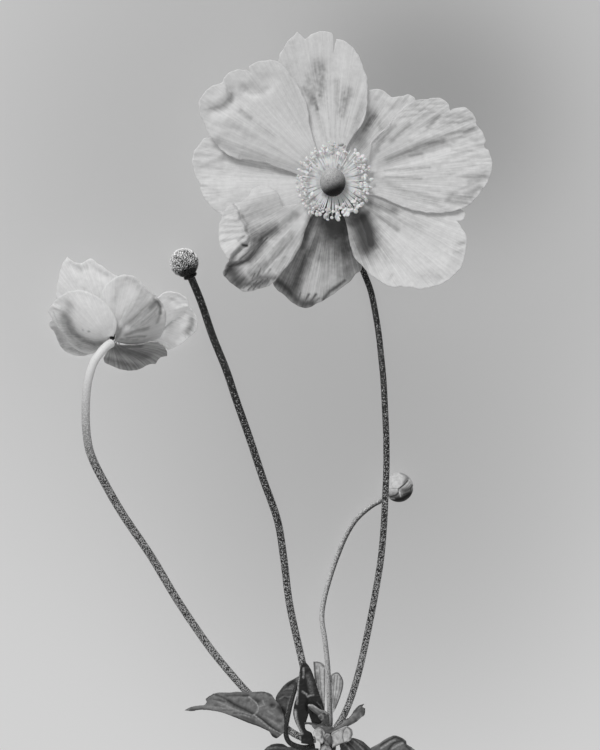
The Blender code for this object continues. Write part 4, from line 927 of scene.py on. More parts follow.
# %% The low tepal and the far left one
BOWL_TEPALS["half_tepal_low"] = dict(
    layer=0, turn=-50, flare=(8, 0.025),
    outline=[(1.4, -0.5), (3.2, -0.6), (5.8, -0.5), (8, 0.0), (9.8, 0.5), (11.6, 0.2), (12.9, -0.9),
        (13.5, -2.3), (13.4, -3.1), (11.8, -3.5), (10.6, -5.0), (8.9, -5.2), (6.8, -6.3), (4.3, -6.8),
        (1.8, -6.4), (-0.7, -5.4), (-2.2, -4.5), (-1.6, -2.6)],
    creases=[(0.5, 0.2, 12, -1.6, 13.2, -2.6), (0.5, 0.25, 10, 0.2, 12.6, -0.6)],
    flush=[(2.4, 0.8, 0.8, -1.4, 8, -3.2), (1.6, 0.6, -1, -4, 5, -5.8), (1, 0.8, 1.5, -0.9, 7, -0.8)])
BOWL_TEPALS["half_tepal_far_left"] = dict(
    layer=1, turn=202, flare=(12, 0.06),
    outline=[(-5, 3.5), (-10, 5), (-15.2, 5.8), (-15.9, 4.5), (-14.7, 2.7), (-13.6, 0), (-12.6, -1.5),
        (-11.1, -2.4), (-9.2, -3), (-6.5, -2.9), (-3.8, -1.6)],
    creases=[(0.7, -0.3, -14.6, 3.4, -12.4, -1), (0.5, 0.25, -11.9, -0.8, -8.5, -2.6)],
    flush=[(1.6, 0.42, -14, 3, -12.2, -1), (1.4, 0.42, -12, -1, -7.4, -2.4), (0.5, 0.3, -12, 0, -7, -2)])
print("drawn:", "half_tepal_low", "half_tepal_far_left")

# %% Onto the bowl and back
LOOPS, LOOP_STEP = 80, 0.5


def bowl_depth(reach, layer, flare):
    """How deep a tepal lies at a distance from the bloom's axis."""
    start, outward = flare
    depth = BOWL_BASE + BOWL_DEPTH * (reach / BOWL_REACH) ** BOWL_CURVE
    return depth + layer * (BOWL_LAYER + BOWL_SPREAD * reach) - outward * np.maximum(0, reach - start) ** 2


def onto_bowl(point, layer, flare):
    """The place on the tilted bowl that is seen at a plan point, in the bowl's own axes."""
    x, y = point
    across = y / math.cos(BOWL_TILT)
    for _ in range(LOOPS):
        depth = bowl_depth(math.hypot(x, across), layer, flare)
        across += LOOP_STEP * ((y - math.sin(BOWL_TILT) * depth) / math.cos(BOWL_TILT) - across)
    return float(x), float(across)


def bowl_marks(marks, layer, flare):
    """Marks that are drawn from above, carried onto the bowl."""
    carried = []
    for width, amount, *chain in marks:
        spots = [onto_bowl(spot, layer, flare) for spot in zip(chain[::2], chain[1::2])]
        carried.append([width, amount] + [value for spot in spots for value in spot])
    return carried


# %% Build the six tepals of the nodding bloom
BOWL_SEED = 20.5
BACK_WAVE, BACK_WAVE_SIZE, BACK_WAVE_FROM = 0.16, 1.4, 6
BACK_PLEATS, BACK_PLEATS_START, BACK_PLEATS_FULL = 0.03, 6, 16
BACK_CRINKLE, BACK_CRINKLE_SIZE, BACK_CRINKLE_START, BACK_CRINKLE_FULL = 0.07, 3.2, 4, 12
LIP, LIP_WIDTH, LIP_START, LIP_FULL = 0.25, 0.7, 5, 10
BACK_LINES = (30, 1.6)
# The backs get two copies of the tepal skin. The paler one paints the brighter light on most backs; the
# darker one, on the low tepal, is partly its own darker back and partly painted shade, as it turns away
# from the light.
lit_pale_back_skin = tepal_material("lit_tepal_back_skin", white=0.98, flush_tone=0.07, line_depth=0.09)
shaded_dark_back_skin = tepal_material("shaded_dark_tepal_back_skin", 0.55, 0.08, 0.7, line_scale=BACK_LINES)


def half_tepal(name, tepal, seed):
    """One tepal of the nodding bloom; its rim turns up into a thin lip."""
    layer, flare = tepal["layer"], tepal["flare"]
    corners = [onto_bowl(point, layer, flare) for point in tepal["outline"]]
    outline = smooth_outline(with_claw(corners, tepal["turn"], BOWL_CLAW_AT, BOWL_CLAW_WIDTH), BOWL_GRID)
    outline = ragged(outline, BACK_WAVE, BACK_WAVE_SIZE, seed, BACK_WAVE_FROM)
    points, faces, rim = fine_sheet(outline, BOWL_GRID)
    uv, angle, reach = fan_map(points, tepal["turn"])
    height = -bowl_depth(reach, layer, flare)
    height += strokes(points, bowl_marks(tepal["creases"], layer, flare))
    height += flaps(points, bowl_marks(tepal.get("flaps", []), layer, flare))
    grown = smooth_step(reach, BACK_CRINKLE_START, BACK_CRINKLE_FULL)
    height += (pleats(angle, reach, rim, BACK_PLEATS, seed, BACK_PLEATS_START, BACK_PLEATS_FULL)
               + BACK_CRINKLE * clouds(points, BACK_CRINKLE_SIZE, seed) * grown)
    height += LIP * np.exp(-(rim / LIP_WIDTH) ** 2) * smooth_step(reach, LIP_START, LIP_FULL)
    # The flush strokes paint shade: in the tepals' folds and furrows, under their rims and round the
    # bloom's foot, along with the backs' own darker flush.
    flush = np.clip(strokes(points, bowl_marks(tepal["flush"], layer, flare)), 0, 1)
    places = np.column_stack([points, height]) @ np.array(BOWL_TURN).T + np.array(BOWL_AT)
    mesh = sheet_mesh(name, places, faces, uv, flush=flush)
    skin = shaded_dark_back_skin if name == "half_tepal_low" else lit_pale_back_skin
    piece = thicken(add_piece(name, mesh, skin), TEPAL_THICKNESS)
    if name == "half_tepal_far_right":
        put_in_group(turned_away, piece, "INCLUDE")
    return piece


for seed, (name, tepal) in enumerate(BOWL_TEPALS.items()):
    report(half_tepal(name, tepal, seed + BOWL_SEED))

# %% [markdown]
# ## Stems
# A stem follows a path, so it is a curve with a round section. Geometry Nodes does this well: the
# tree takes a plain line, makes it a curve, gives it a radius that changes from foot to tip, sweeps
# a circle along it and scatters short hairs over the result. All stems share the one tree and
# differ only in its inputs. A route's points hold x, y and the height above the table.

# %% Routes of the stems
OPEN_STEM = [(16.5, -79.7, 2.8), (17.8, -77.8, 2.7), (19.2, -75, 2.9), (21, -70, 3.5), (23, -62.5, 4.5),
    (25.2, -52, 5.9), (26.5, -45, 6.6), (27.7, -37.5, 7.3), (28.4, -30, 7.8), (28.8, -22.5, 7.9),
    (29.1, -15, 7.3), (29.1, -7.5, 6.2), (28.8, 0, 5), (28.4, 7.5, 3.8), (27.8, 13.8, 2.8),
    (27.1, 20, 1.9), (25.8, 27.5, 1.1), (24.8, 31.2, 0.9), (23.2, 35.2, 0.8), (21.5, 39.8, 0.8),
    (19.8, 44.2, 1.2), (18.2, 48.5, 2.2), (17, 51.8, 3.8), (16.1, 54.8, 6.2), (15.8, 56.5, 8.3),
    (15.75, 57, 10)]
SEED_STEM = [(13.4, -79.5, 1.55), (12.6, -77.8, 1.6), (11.5, -75.5, 1.6), (9.5, -69.5, 1.7),
    (7.8, -62, 1.7), (4.9, -48.8, 1.8), (3.4, -37, 1.8), (1.8, -27.5, 1.8), (-1.7, -17.5, 1.8),
    (-5, -7.5, 1.8), (-8.5, 2.5, 1.9), (-11, 10, 2.1), (-14.4, 18.5, 2.4), (-17.2, 26.8, 2.9),
    (-19.7, 33, 3.6)]
HALF_STEM = [(11.35, -82.6, 2.65), (9.2, -82.6, 2.4), (5, -80.5, 2.6), (0, -76.2, 3), (-6.2, -70.2, 3.5),
    (-12.8, -62.5, 4.2), (-17.2, -56.6, 5), (-23.5, -47.1, 6.4), (-29.8, -36.5, 8.2), (-36.8, -26, 10.7),
    (-41.8, -17.2, 12.9), (-44.4, -11.8, 14.3), (-45.5, -7.5, 15.4), (-45.9, -1.5, 16.9),
    (-45.5, 5.8, 18.9), (-44.1, 11.2, 20.2), (-42.4, 14, 20.4), (-40.7, 15.9, 19.7), (-39.5, 16.65, 18.4)]
BUD_STEM = [(15, -79.3, 4.2), (15.1, -77.6, 4.7), (14.8, -72.5, 5.4), (14.5, -65, 5.4), (13.8, -58, 4.6),
    (13, -52.3, 3.4), (13.6, -47.4, 2.4), (15.2, -41.6, 1.5), (16.9, -36.7, 1.1), (19.2, -31.3, 1),
    (21.8, -27.3, 1.2), (25.3, -24.2, 1.8), (27.6, -22.9, 2.4), (29.3, -21.7, 3)]
LEAF_RIB = [(6.8, -68.2, 6.1), (5.3, -73.4, 6.5), (4.4, -77.2, 6.5), (3.9, -80.4, 5.8), (4.8, -83.2, 4.6),
    (8, -84.6, 3.7), (11.2, -84.3, 3.3)]
STALK = [(14.5, -94.15, 1.75), (14.5, -87.6, 2.0), (14.5, -86, 2.2), (14.55, -84.6, 2.8),
    (14.6, -83.4, 3.1), (14.6, -82.3, 3.1), (14.6, -81.1, 3.1), (14.6, -80.2, 3.1), (14.6, -79.7, 3.1)]


def smooth_route(route, step):
    """Points about a step apart on a smooth curve through a stem's own points."""
    spots = [Vector(spot) for spot in route]
    ahead = [2 * spots[0] - spots[1]] + spots + [2 * spots[-1] - spots[-2]]
    points = [spots[0]]
    for index in range(1, len(ahead) - 2):
        start, end = ahead[index], ahead[index + 1]
        handle_out = start + (end - ahead[index - 1]) / 6
        handle_in = end - (ahead[index + 2] - start) / 6
        count = max(1, round((end - start).length / step))
        points += interpolate_bezier(start, handle_out, handle_in, end, count + 1)[1:]
    return points


def line_mesh(name, route, step):
    """A plain line of edges along a route."""
    points = smooth_route(route, step)
    edges = [(index, index + 1) for index in range(len(points) - 1)]
    return new_mesh(name, [point * MM for point in points], edges, [])


# %% Helpers for Geometry Nodes
def new_tree(name, **sockets):
    """A Geometry Nodes tree with inputs that are named by kind; gives the tree and those inputs."""
    tree = bpy.data.node_groups.new(name, "GeometryNodeTree")
    tree.interface.new_socket("Geometry", in_out="INPUT", socket_type="NodeSocketGeometry")
    tree.interface.new_socket("Geometry", in_out="OUTPUT", socket_type="NodeSocketGeometry")
    for kind, titles in sockets.items():
        for title in titles:
            tree.interface.new_socket(title, in_out="INPUT", socket_type="NodeSocket" + kind)
    return tree, add_node(tree, "NodeGroupInput").outputs


def grow(name, mesh, tree, values):
    """Run a tree on a mesh with these values for its inputs, and give back a plain mesh."""
    holder = bpy.data.objects.new(name + "_holder", mesh)
    scene.collection.objects.link(holder)
    modifier = holder.modifiers.new("Grow", "NODES")
    modifier.node_group = tree
    for item in tree.interface.items_tree:
        if item.in_out == "INPUT" and item.name in values:
            modifier[item.identifier] = values[item.name]
    holder.update_tag()
    bpy.context.view_layer.update()
    graph = bpy.context.evaluated_depsgraph_get()
    grown = bpy.data.meshes.new_from_object(holder.evaluated_get(graph))
    bpy.data.objects.remove(holder, do_unlink=True)
    grown.name = "fine_" + name
    return grown


def random_node(tree, low, high, seed):
    """One random number for each point, with a fixed seed, from the sockets for plain numbers."""
    inputs = {2: low, 3: high, "Seed": seed}
    return add_node(tree, "FunctionNodeRandomValue", inputs, data_type="FLOAT").outputs[1]


def turned_more(tree, rotation, angles):
    """A rotation with three more turns, about its own axes."""
    more = result_of(tree, "FunctionNodeEulerToRotation", {0: angles})
    return result_of(tree, "FunctionNodeRotateRotation", {0: rotation, 1: more}, rotation_space="LOCAL")


def plant(tree, points, shape, rotation, scale):
    """Put a copy of a shape on each point."""
    inputs = {"Points": points, "Instance": shape, "Rotation": rotation, "Scale": scale}
    return result_of(tree, "GeometryNodeInstanceOnPoints", inputs)


def as_mesh(tree, instances):
    """Turn copies into a real mesh."""
    return result_of(tree, "GeometryNodeRealizeInstances", {0: instances})


def smoothed(tree, geometry):
    """Shade a geometry smooth."""
    return result_of(tree, "GeometryNodeSetShadeSmooth", {0: geometry})


def with_skin(tree, geometry, skin):
    """Give a geometry its material."""
    return result_of(tree, "GeometryNodeSetMaterial", {0: geometry, "Material": skin})


def join(tree, *parts):
    """Bring several geometries together."""
    node = add_node(tree, "GeometryNodeJoinGeometry")
    for part in parts:
        tree.links.new(part, node.inputs[0])
    return node.outputs[0]


# %% The tree that makes a stem
HAIR_WIDTH = 0.03
HAIR_LEAN = (-0.2, 0.75, 0.1)
HAIR_SIZES = (0.6, 1.2)
UPPER_SIDE = -0.2


def scatter_hairs(tree, surface, density, length, seed):
    """Three-sided hairs on the upper side of a surface, which lean towards the tip."""
    normal = result_of(tree, "GeometryNodeInputNormal")
    height = add_node(tree, "ShaderNodeSeparateXYZ", {0: normal}).outputs["Z"]
    upper = result_of(tree, "FunctionNodeCompare", {0: height, 1: UPPER_SIDE}, operation="GREATER_THAN")
    inputs = {"Mesh": surface, "Selection": upper, "Density": density, "Seed": seed}
    spots = add_node(tree, "GeometryNodeDistributePointsOnFaces", inputs).outputs
    leaning = vector_node(tree, "ADD", spots["Normal"], HAIR_LEAN)
    rotation = result_of(tree, "FunctionNodeAlignRotationToVector", {"Vector": leaning}, axis="Z")
    inputs = {"Vertices": 3, "Radius Bottom": HAIR_WIDTH * MM, "Depth": length}
    cone = result_of(tree, "GeometryNodeMeshCone", inputs, fill_type="NONE")
    size = random_node(tree, *HAIR_SIZES, seed)
    return as_mesh(tree, plant(tree, spots["Points"], cone, rotation, size))


def stem_tree():
    """A line becomes a tube whose radius changes from foot to tip, and short hairs grow on it."""
    tree, given = new_tree("stem", Float=("Foot radius", "Tip radius", "Hairs", "Hair length"),
                           Int=("Sides", "Seed"), Material=("Skin", "Hair skin"))
    line = result_of(tree, "GeometryNodeMeshToCurve", {0: given["Geometry"]})
    share = add_node(tree, "GeometryNodeSplineParameter").outputs["Factor"]
    radius = spread(tree, share, 0.0, 1.0, given["Foot radius"], given["Tip radius"])
    inputs = {"Resolution": given["Sides"], "Radius": 1.0}
    circle = result_of(tree, "GeometryNodeCurvePrimitiveCircle", inputs)
    inputs = {"Geometry": line, "Name": "along", "Value": share}
    line = result_of(tree, "GeometryNodeStoreNamedAttribute", inputs)
    inputs = {"Curve": line, "Profile Curve": circle, "Scale": radius, "Fill Caps": True}
    tube = smoothed(tree, result_of(tree, "GeometryNodeCurveToMesh", inputs))
    hairs = scatter_hairs(tree, tube, given["Hairs"], given["Hair length"], given["Seed"])
    both = join(tree, with_skin(tree, tube, given["Skin"]), with_skin(tree, hairs, given["Hair skin"]))
    add_node(tree, "NodeGroupOutput", {0: both})
    return tree


grow_stem = stem_tree()
print("inputs of the stem tree:", [item.name for item in grow_stem.interface.items_tree])

# %% [markdown]
# ## Skin of the stems
# The stems are dark, with fine pale flecks like a net: short hairs that lie flat and catch the
# light. The flecks grow denser towards the foot. As they are far too many to model one by one,
# noise of the right size makes them, and only the longer hairs that stand out are real geometry.

# %% Stem materials
FLECK_SCALE = 3400.0
FLECK_EDGE = (-0.015, 0.05)
NET_MIDDLE, NET_REACH = 0.62, 0.2
TIP_SHARES = (0.72, 0.93)
HAIR_TONE = 0.5


def stem_material(name, dark, pale, flecks, pale_tip=0.0):
    """Flecks holds how dense they are at the foot and at the tip; pale_tip is the tone at the tip."""
    material, tree, shader = new_material(name, Roughness=0.5, Specular_IOR_Level=0.3)
    along = stored(tree, "along")
    net = noise_at(tree, place_of(tree), FLECK_SCALE, Detail=1.0, Roughness=0.5)
    at_foot, at_tip = (NET_MIDDLE - dense * NET_REACH for dense in flecks)
    share = spread(tree, along, 0.0, 1.0, at_foot, at_tip)
    fleck = spread(tree, math_node(tree, "SUBTRACT", net, share), *FLECK_EDGE)
    tone = tone_mix(tree, fleck, dark, pale)
    if pale_tip:
        tone = tone_mix(tree, spread(tree, along, *TIP_SHARES), tone, pale_tip)
    set_skin(tree, shader, tone, net, depth=0.12)
    return material


dark_skin = stem_material("dark_stem_skin", dark=0.014, pale=0.46, flecks=(0.7, -0.3))
half_skin = stem_material("half_stem_skin", dark=0.02, pale=0.46, flecks=(0.7, 0.5), pale_tip=0.85)
bud_stem_skin = stem_material("bud_stem_skin", dark=0.2, pale=0.45, flecks=(1.2, 0.5))
stalk_skin = stem_material("stalk_skin", dark=0.03, pale=0.12, flecks=(-0.6, -0.2))
hair_skin = new_material("hair_skin", Roughness=0.5, Base_Color=(HAIR_TONE, HAIR_TONE, HAIR_TONE, 1))[0]
print("stem skins:", [skin.name for skin in (dark_skin, half_skin, bud_stem_skin, stalk_skin, hair_skin)])

# %% Build the stems
HAIRS_ON_A_SQUARE_METRE = 3.0e6
HAIR_LENGTH = 0.34


def add_stem(node, route, radii, skin, seed, hairs=HAIRS_ON_A_SQUARE_METRE, sides=14, step=0.9):
    """One stem, with its radii at the foot and at the tip."""
    values = {"Foot radius": radii[0] * MM, "Tip radius": radii[1] * MM, "Sides": sides, "Hairs": hairs,
              "Hair length": HAIR_LENGTH * MM, "Seed": seed, "Skin": skin, "Hair skin": hair_skin}
    piece = add_piece(node, grow(node, line_mesh(node, route, step), grow_stem, values), skin)
    put_in_group(shadow_makers, piece, "EXCLUDE")
    return piece


for made in (
        add_stem("open_stem", OPEN_STEM, (0.86, 0.74), dark_skin, seed=3),
        add_stem("seed_stem", SEED_STEM, (0.9, 0.95), dark_skin, seed=4),
        add_stem("half_stem", HALF_STEM, (0.88, 1.08), half_skin, seed=5),
        light_as_round(add_stem("bud_stem", BUD_STEM, (0.64, 0.6), bud_stem_skin, seed=6)),
        add_stem("leaf_rib", LEAF_RIB, (0.45, 0.75), stalk_skin, seed=7, sides=10, step=0.6),
        add_stem("stalk", STALK, (1.6, 2.2), stalk_skin, seed=8, hairs=0.0, sides=20)):
    report(made)

# %% [markdown]
# ## Balls of carpels
# In the middle of each flower sits a ball of tiny carpels. The ball and its pad are turned bodies,
# like work from a lathe: a profile of heights and radii is swept round an axis. Small grains are
# then packed over it by Geometry Nodes, because anything that repeats like this is a case for it.
# The lower side of the open bloom's ball is painted nearly black, partly its own darker tone and
# partly painted shade away from the light; the nodding bloom's ball is painted darker near its
# foot, which is painted shade.

# %% Turned bodies
def tube_faces(rings, sides):
    """Faces between neighbouring rings of points."""
    faces = []
    for ring in range(rings - 1):
        for step in range(sides):
            here, following = ring * sides + step, ring * sides + (step + 1) % sides
            faces.append((here, following, following + sides, here + sides))
    return faces


def turned(profile, sides, axis, origin):
    """A closed body of revolution: heights and radii along an axis, from an origin."""
    origin, axis = Vector(origin), Vector(axis).normalized()
    side = axis.orthogonal().normalized()
    other = axis.cross(side)
    places = []
    for height, radius in profile:
        for step in range(sides):
            angle = FULL_TURN * step / sides
            outward = side * math.cos(angle) + other * math.sin(angle)
            places.append(origin + axis * height + outward * radius)
    faces = tube_faces(len(profile), sides)
    foot, last = len(places), len(places) - sides
    places += [origin + axis * profile[0][0], origin + axis * profile[-1][0]]
    for step in range(sides):
        following = (step + 1) % sides
        faces += [(following, step, foot), (last + step, last + following, foot + 1)]
    return new_mesh("turned", [place * MM for place in places], [], faces)


def ball_profile(centre, radius, bottom, top, rows):
    """Heights and radii of a ball between two angles, measured from its lowest point."""
    angles = [math.radians(bottom + (top - bottom) * row / rows) for row in range(rows + 1)]
    return [(centre - radius * math.cos(angle), radius * math.sin(angle)) for angle in angles]


# %% The tree that packs grains
MOST_GRAINS_ON_A_SQUARE_METRE = 2.4e7
GRAIN_SIZES = (0.7, 1.25)
ABOUT_A_TURN = 6.283


def grain_tree():
    """Small rounded grains or fibres, packed over a surface and turned the way it faces."""
    tree, given = new_tree("grains", Float=("Spacing", "Lift"), Vector=("Grain size",), Int=("Seed",),
                           Material=("Skin", "Grain skin"))
    body = given["Geometry"]
    inputs = {"Mesh": body, "Distance Min": given["Spacing"],
              "Density Max": MOST_GRAINS_ON_A_SQUARE_METRE, "Seed": given["Seed"]}
    spots = add_node(tree, "GeometryNodeDistributePointsOnFaces", inputs,
                     distribute_method="POISSON").outputs
    grain = result_of(tree, "GeometryNodeMeshIcoSphere", {"Radius": 1.0, "Subdivisions": 1})
    size = vector_node(tree, "SCALE", given["Grain size"], Scale=random_node(tree, *GRAIN_SIZES, 0))
    spin, tilt = random_node(tree, 0.0, ABOUT_A_TURN, 3), random_node(tree, 0.0, given["Lift"], 4)
    angles = result_of(tree, "ShaderNodeCombineXYZ", {0: tilt, 2: spin})
    facing = turned_more(tree, spots["Rotation"], angles)
    grains = smoothed(tree, as_mesh(tree, plant(tree, spots["Points"], grain, facing, size)))
    both = join(tree, with_skin(tree, body, given["Skin"]), with_skin(tree, grains, given["Grain skin"]))
    add_node(tree, "NodeGroupOutput", {0: both})
    return tree


grow_grains = grain_tree()


def with_grains(node, mesh, spacing, size, lift, skin, grain_skin, seed):
    """Pack grains of a size over a mesh; lift is the most that a grain tilts off it, in radians."""
    values = {"Spacing": spacing * MM, "Grain size": Vector(size) * MM, "Lift": lift, "Seed": seed,
              "Skin": skin, "Grain skin": grain_skin}
    return grow(node, mesh, grow_grains, values)


# %% Skins of the balls
# The dark sides: the open ball's lower side is partly its own darker tone and partly painted shade away
# from the light; the nodding ball's dark foot is painted shade.
DARK_AND_SHADED_SIDE = ((17.3, 51.2, 20.0), 5.3)
SHADED_NECK = (tuple(BOWL_AT), 3.4)
DARK_SIDE_EDGE = (0.78, 1.14)
DARK_SIDE_AMOUNT, DARK_SIDE_TONE = 0.92, 0.14
SPECK_EDGE = (0.35, 0.65)


def grain_material(name, dark, pale, scale, shaded_side, roughness=0.6):
    """Grains between two tones, and a darker side, partly painted shade, given by its middle and reach."""
    material, tree, shader = new_material(name, Roughness=roughness, Specular_IOR_Level=0.2)
    place = place_of(tree)
    tone = tone_mix(tree, spread(tree, noise_at(tree, place, scale, Detail=2.0), *SPECK_EDGE), dark, pale)
    middle, reach = shaded_side
    low, high = (reach * edge * MM for edge in DARK_SIDE_EDGE)
    side = spread(tree, distance_from(tree, place, middle), low, high, DARK_SIDE_AMOUNT, 0.0)
    set_skin(tree, shader, tone_mix(tree, side, tone, dark * DARK_SIDE_TONE))
    return material


ball_skin = grain_material("carpel_ball_skin", 0.26, 0.40, 2200.0, DARK_AND_SHADED_SIDE)
carpel_skin = grain_material("carpel_skin", 0.32, 0.48, 1500.0, DARK_AND_SHADED_SIDE, roughness=0.5)
hidden_skin = grain_material("hidden_ball_skin", 0.2, 0.3, 2200.0, SHADED_NECK)
print("ball skins:", [skin.name for skin in (ball_skin, carpel_skin, hidden_skin)])

# %% Build the balls
PISTIL_RADIUS, CARPEL_LIFT = 3.25, 0.08
CARPEL_SIZE, CARPEL_TILT = (0.11, 0.13, 0.05), 0.2
BALL_SIDES, BALL_ROWS, BALL_FOOT, BALL_TOP = 56, 30, 44, 179
BALL_AT = BLOOM_AT + (-0.1, -0.33, 0)
BOWL_AXIS = BOWL_TURN @ Vector((0, 0, -1))
OPEN_PAD = [(10.55, 1.6), (11.05, 2.6), (11.75, 2.95), (15.5, 2.95), (15.7, 2.2)]
HALF_PAD = [(1.2, 0.4), (1.6, 0.6), (3.9, 0.8), (4.5, 1.5), (5.4, 2.2)]


def add_pistil(node, pad, centre, axis, origin, stretch, skin, grain_skin, spacing):
    """A ball of carpels on its pad. The open bloom's ball is a little longer than broad."""
    profile = pad + ball_profile(centre, PISTIL_RADIUS - CARPEL_LIFT, BALL_FOOT, BALL_TOP, BALL_ROWS)
    ball = turned(profile, BALL_SIDES, axis, origin)
    mesh = with_grains(node, ball, spacing, CARPEL_SIZE, CARPEL_TILT, skin, grain_skin, seed=5)
    middle = Vector(origin) * MM
    stretched = Matrix.Scale(stretch, 4, (0, 1, 0))
    mesh.transform(Matrix.Translation(middle) @ stretched @ Matrix.Translation(-middle))
    return light_as_round(add_piece(node, mesh, skin))


report(add_pistil("open_pistil", OPEN_PAD, centre=18.6, axis=(0, 0, 1), origin=BALL_AT, stretch=1.12,
                  skin=ball_skin, grain_skin=carpel_skin, spacing=0.19))
report(add_pistil("half_pistil", HALF_PAD, centre=8.4, axis=BOWL_AXIS, origin=BOWL_AT, stretch=1.0,
                  skin=hidden_skin, grain_skin=hidden_skin, spacing=0.4))

# %% [markdown]
# ## Stamens
# Round the ball stands a dense ring of stamens: pale flat filaments, each with a two-lobed anther.
# The golden angle spreads them evenly, and random draws with a fixed seed keep them from looking
# drilled. On the bright side the anthers are plumper, and paler as well, which is painted light; on
# the other side some of them have fallen off.

# %% One filament and one anther
# Each row of the filament: its share of the length, and half its width.
FILAMENT_ROWS = ((0, 0.11), (0.3, 0.15), (0.65, 0.13), (0.95, 0.08))
FILAMENT_ARCH, FILAMENT_KEEL = 0.11, 0.06
ANTHER_RINGS, ANTHER_SIDES = 5, 8
ANTHER_SIZE = (0.98, 0.46, 0.34)
ANTHER_HELD_AT = 0.4
PLUMP_FROM, PLUMP_SPAN, PLUMP_CURVE = 0.12, 0.76, 0.7
GROOVE_FLOOR, GROOVE_RISE, GROOVE_CURVE = 0.3, 0.7, 1.5


def kept_object(name, places, faces):
    """An object that only lends its shape to copies, and isn't in the scene."""
    return bpy.data.objects.new(name, new_mesh(name, places, [], faces))


def filament_object():
    """One filament of unit length along X: a flat strip, broad in the middle, that arches."""
    places = []
    for share, width in FILAMENT_ROWS:
        level = FILAMENT_ARCH * math.sin(math.pi * share)
        keel = level + FILAMENT_KEEL * MM
        places += [(share, -width * MM, level), (share, 0, keel), (share, width * MM, level)]
    corners = [row * 3 + column for row in range(3) for column in range(2)]
    return kept_object("filament", places, [(a, a + 3, a + 4, a + 1) for a in corners])


def anther_object():
    """Two plump lobes side by side, with a groove between them, lying along X."""
    long, broad, high = ANTHER_SIZE
    rings, sides = ANTHER_RINGS, ANTHER_SIDES
    places = []
    for ring in range(rings):
        share = ring / (rings - 1)
        plump = math.sin(math.pi * (PLUMP_FROM + PLUMP_SPAN * share)) ** PLUMP_CURVE
        for step in range(sides):
            angle = FULL_TURN * step / sides
            groove = GROOVE_FLOOR + GROOVE_RISE * abs(math.sin(angle)) ** GROOVE_CURVE
            y = math.sin(angle) * broad * plump
            z = math.cos(angle) * high * plump * groove
            places.append(((share - ANTHER_HELD_AT) * long * MM, y * MM, z * MM))
    caps = [tuple(reversed(range(sides))), tuple(range((rings - 1) * sides, rings * sides))]
    return kept_object("anther", places, tube_faces(rings, sides) + caps)


filament, anther = filament_object(), anther_object()
print("points of a filament and an anther:", len(filament.data.vertices), len(anther.data.vertices))

# %% The tree that sets stamens
GOLDEN_TURN = math.pi * (3 - math.sqrt(5))
TURN_DRAW = 0.04
REACH_DRAW, RISE_DRAW = 0.45 * MM, 0.35 * MM
FALLEN_BELOW = 0.26
FILAMENT_TONES, ANTHER_TONES, ANTHER_SIZES = (0.85, 1.15), (-0.42, 0.2), (0.75, 1.15)
ROLLS, NODS, SWINGS = (-0.9, 0.9), (-0.5, 0.9), (-0.8, 0.8)
# From the dark side to the bright one: how pale an anther is, which is painted light, how large,
# and how surely it is kept.
SIDE_PAINTED_LIGHT = (-0.5, 0.3, 1.04, 1.12)
SIDE_SIZE = (-0.5, 0.3, 0.85, 1.3)
SIDE_KEEP = (-0.3, 0.4, 0.0, 0.6)


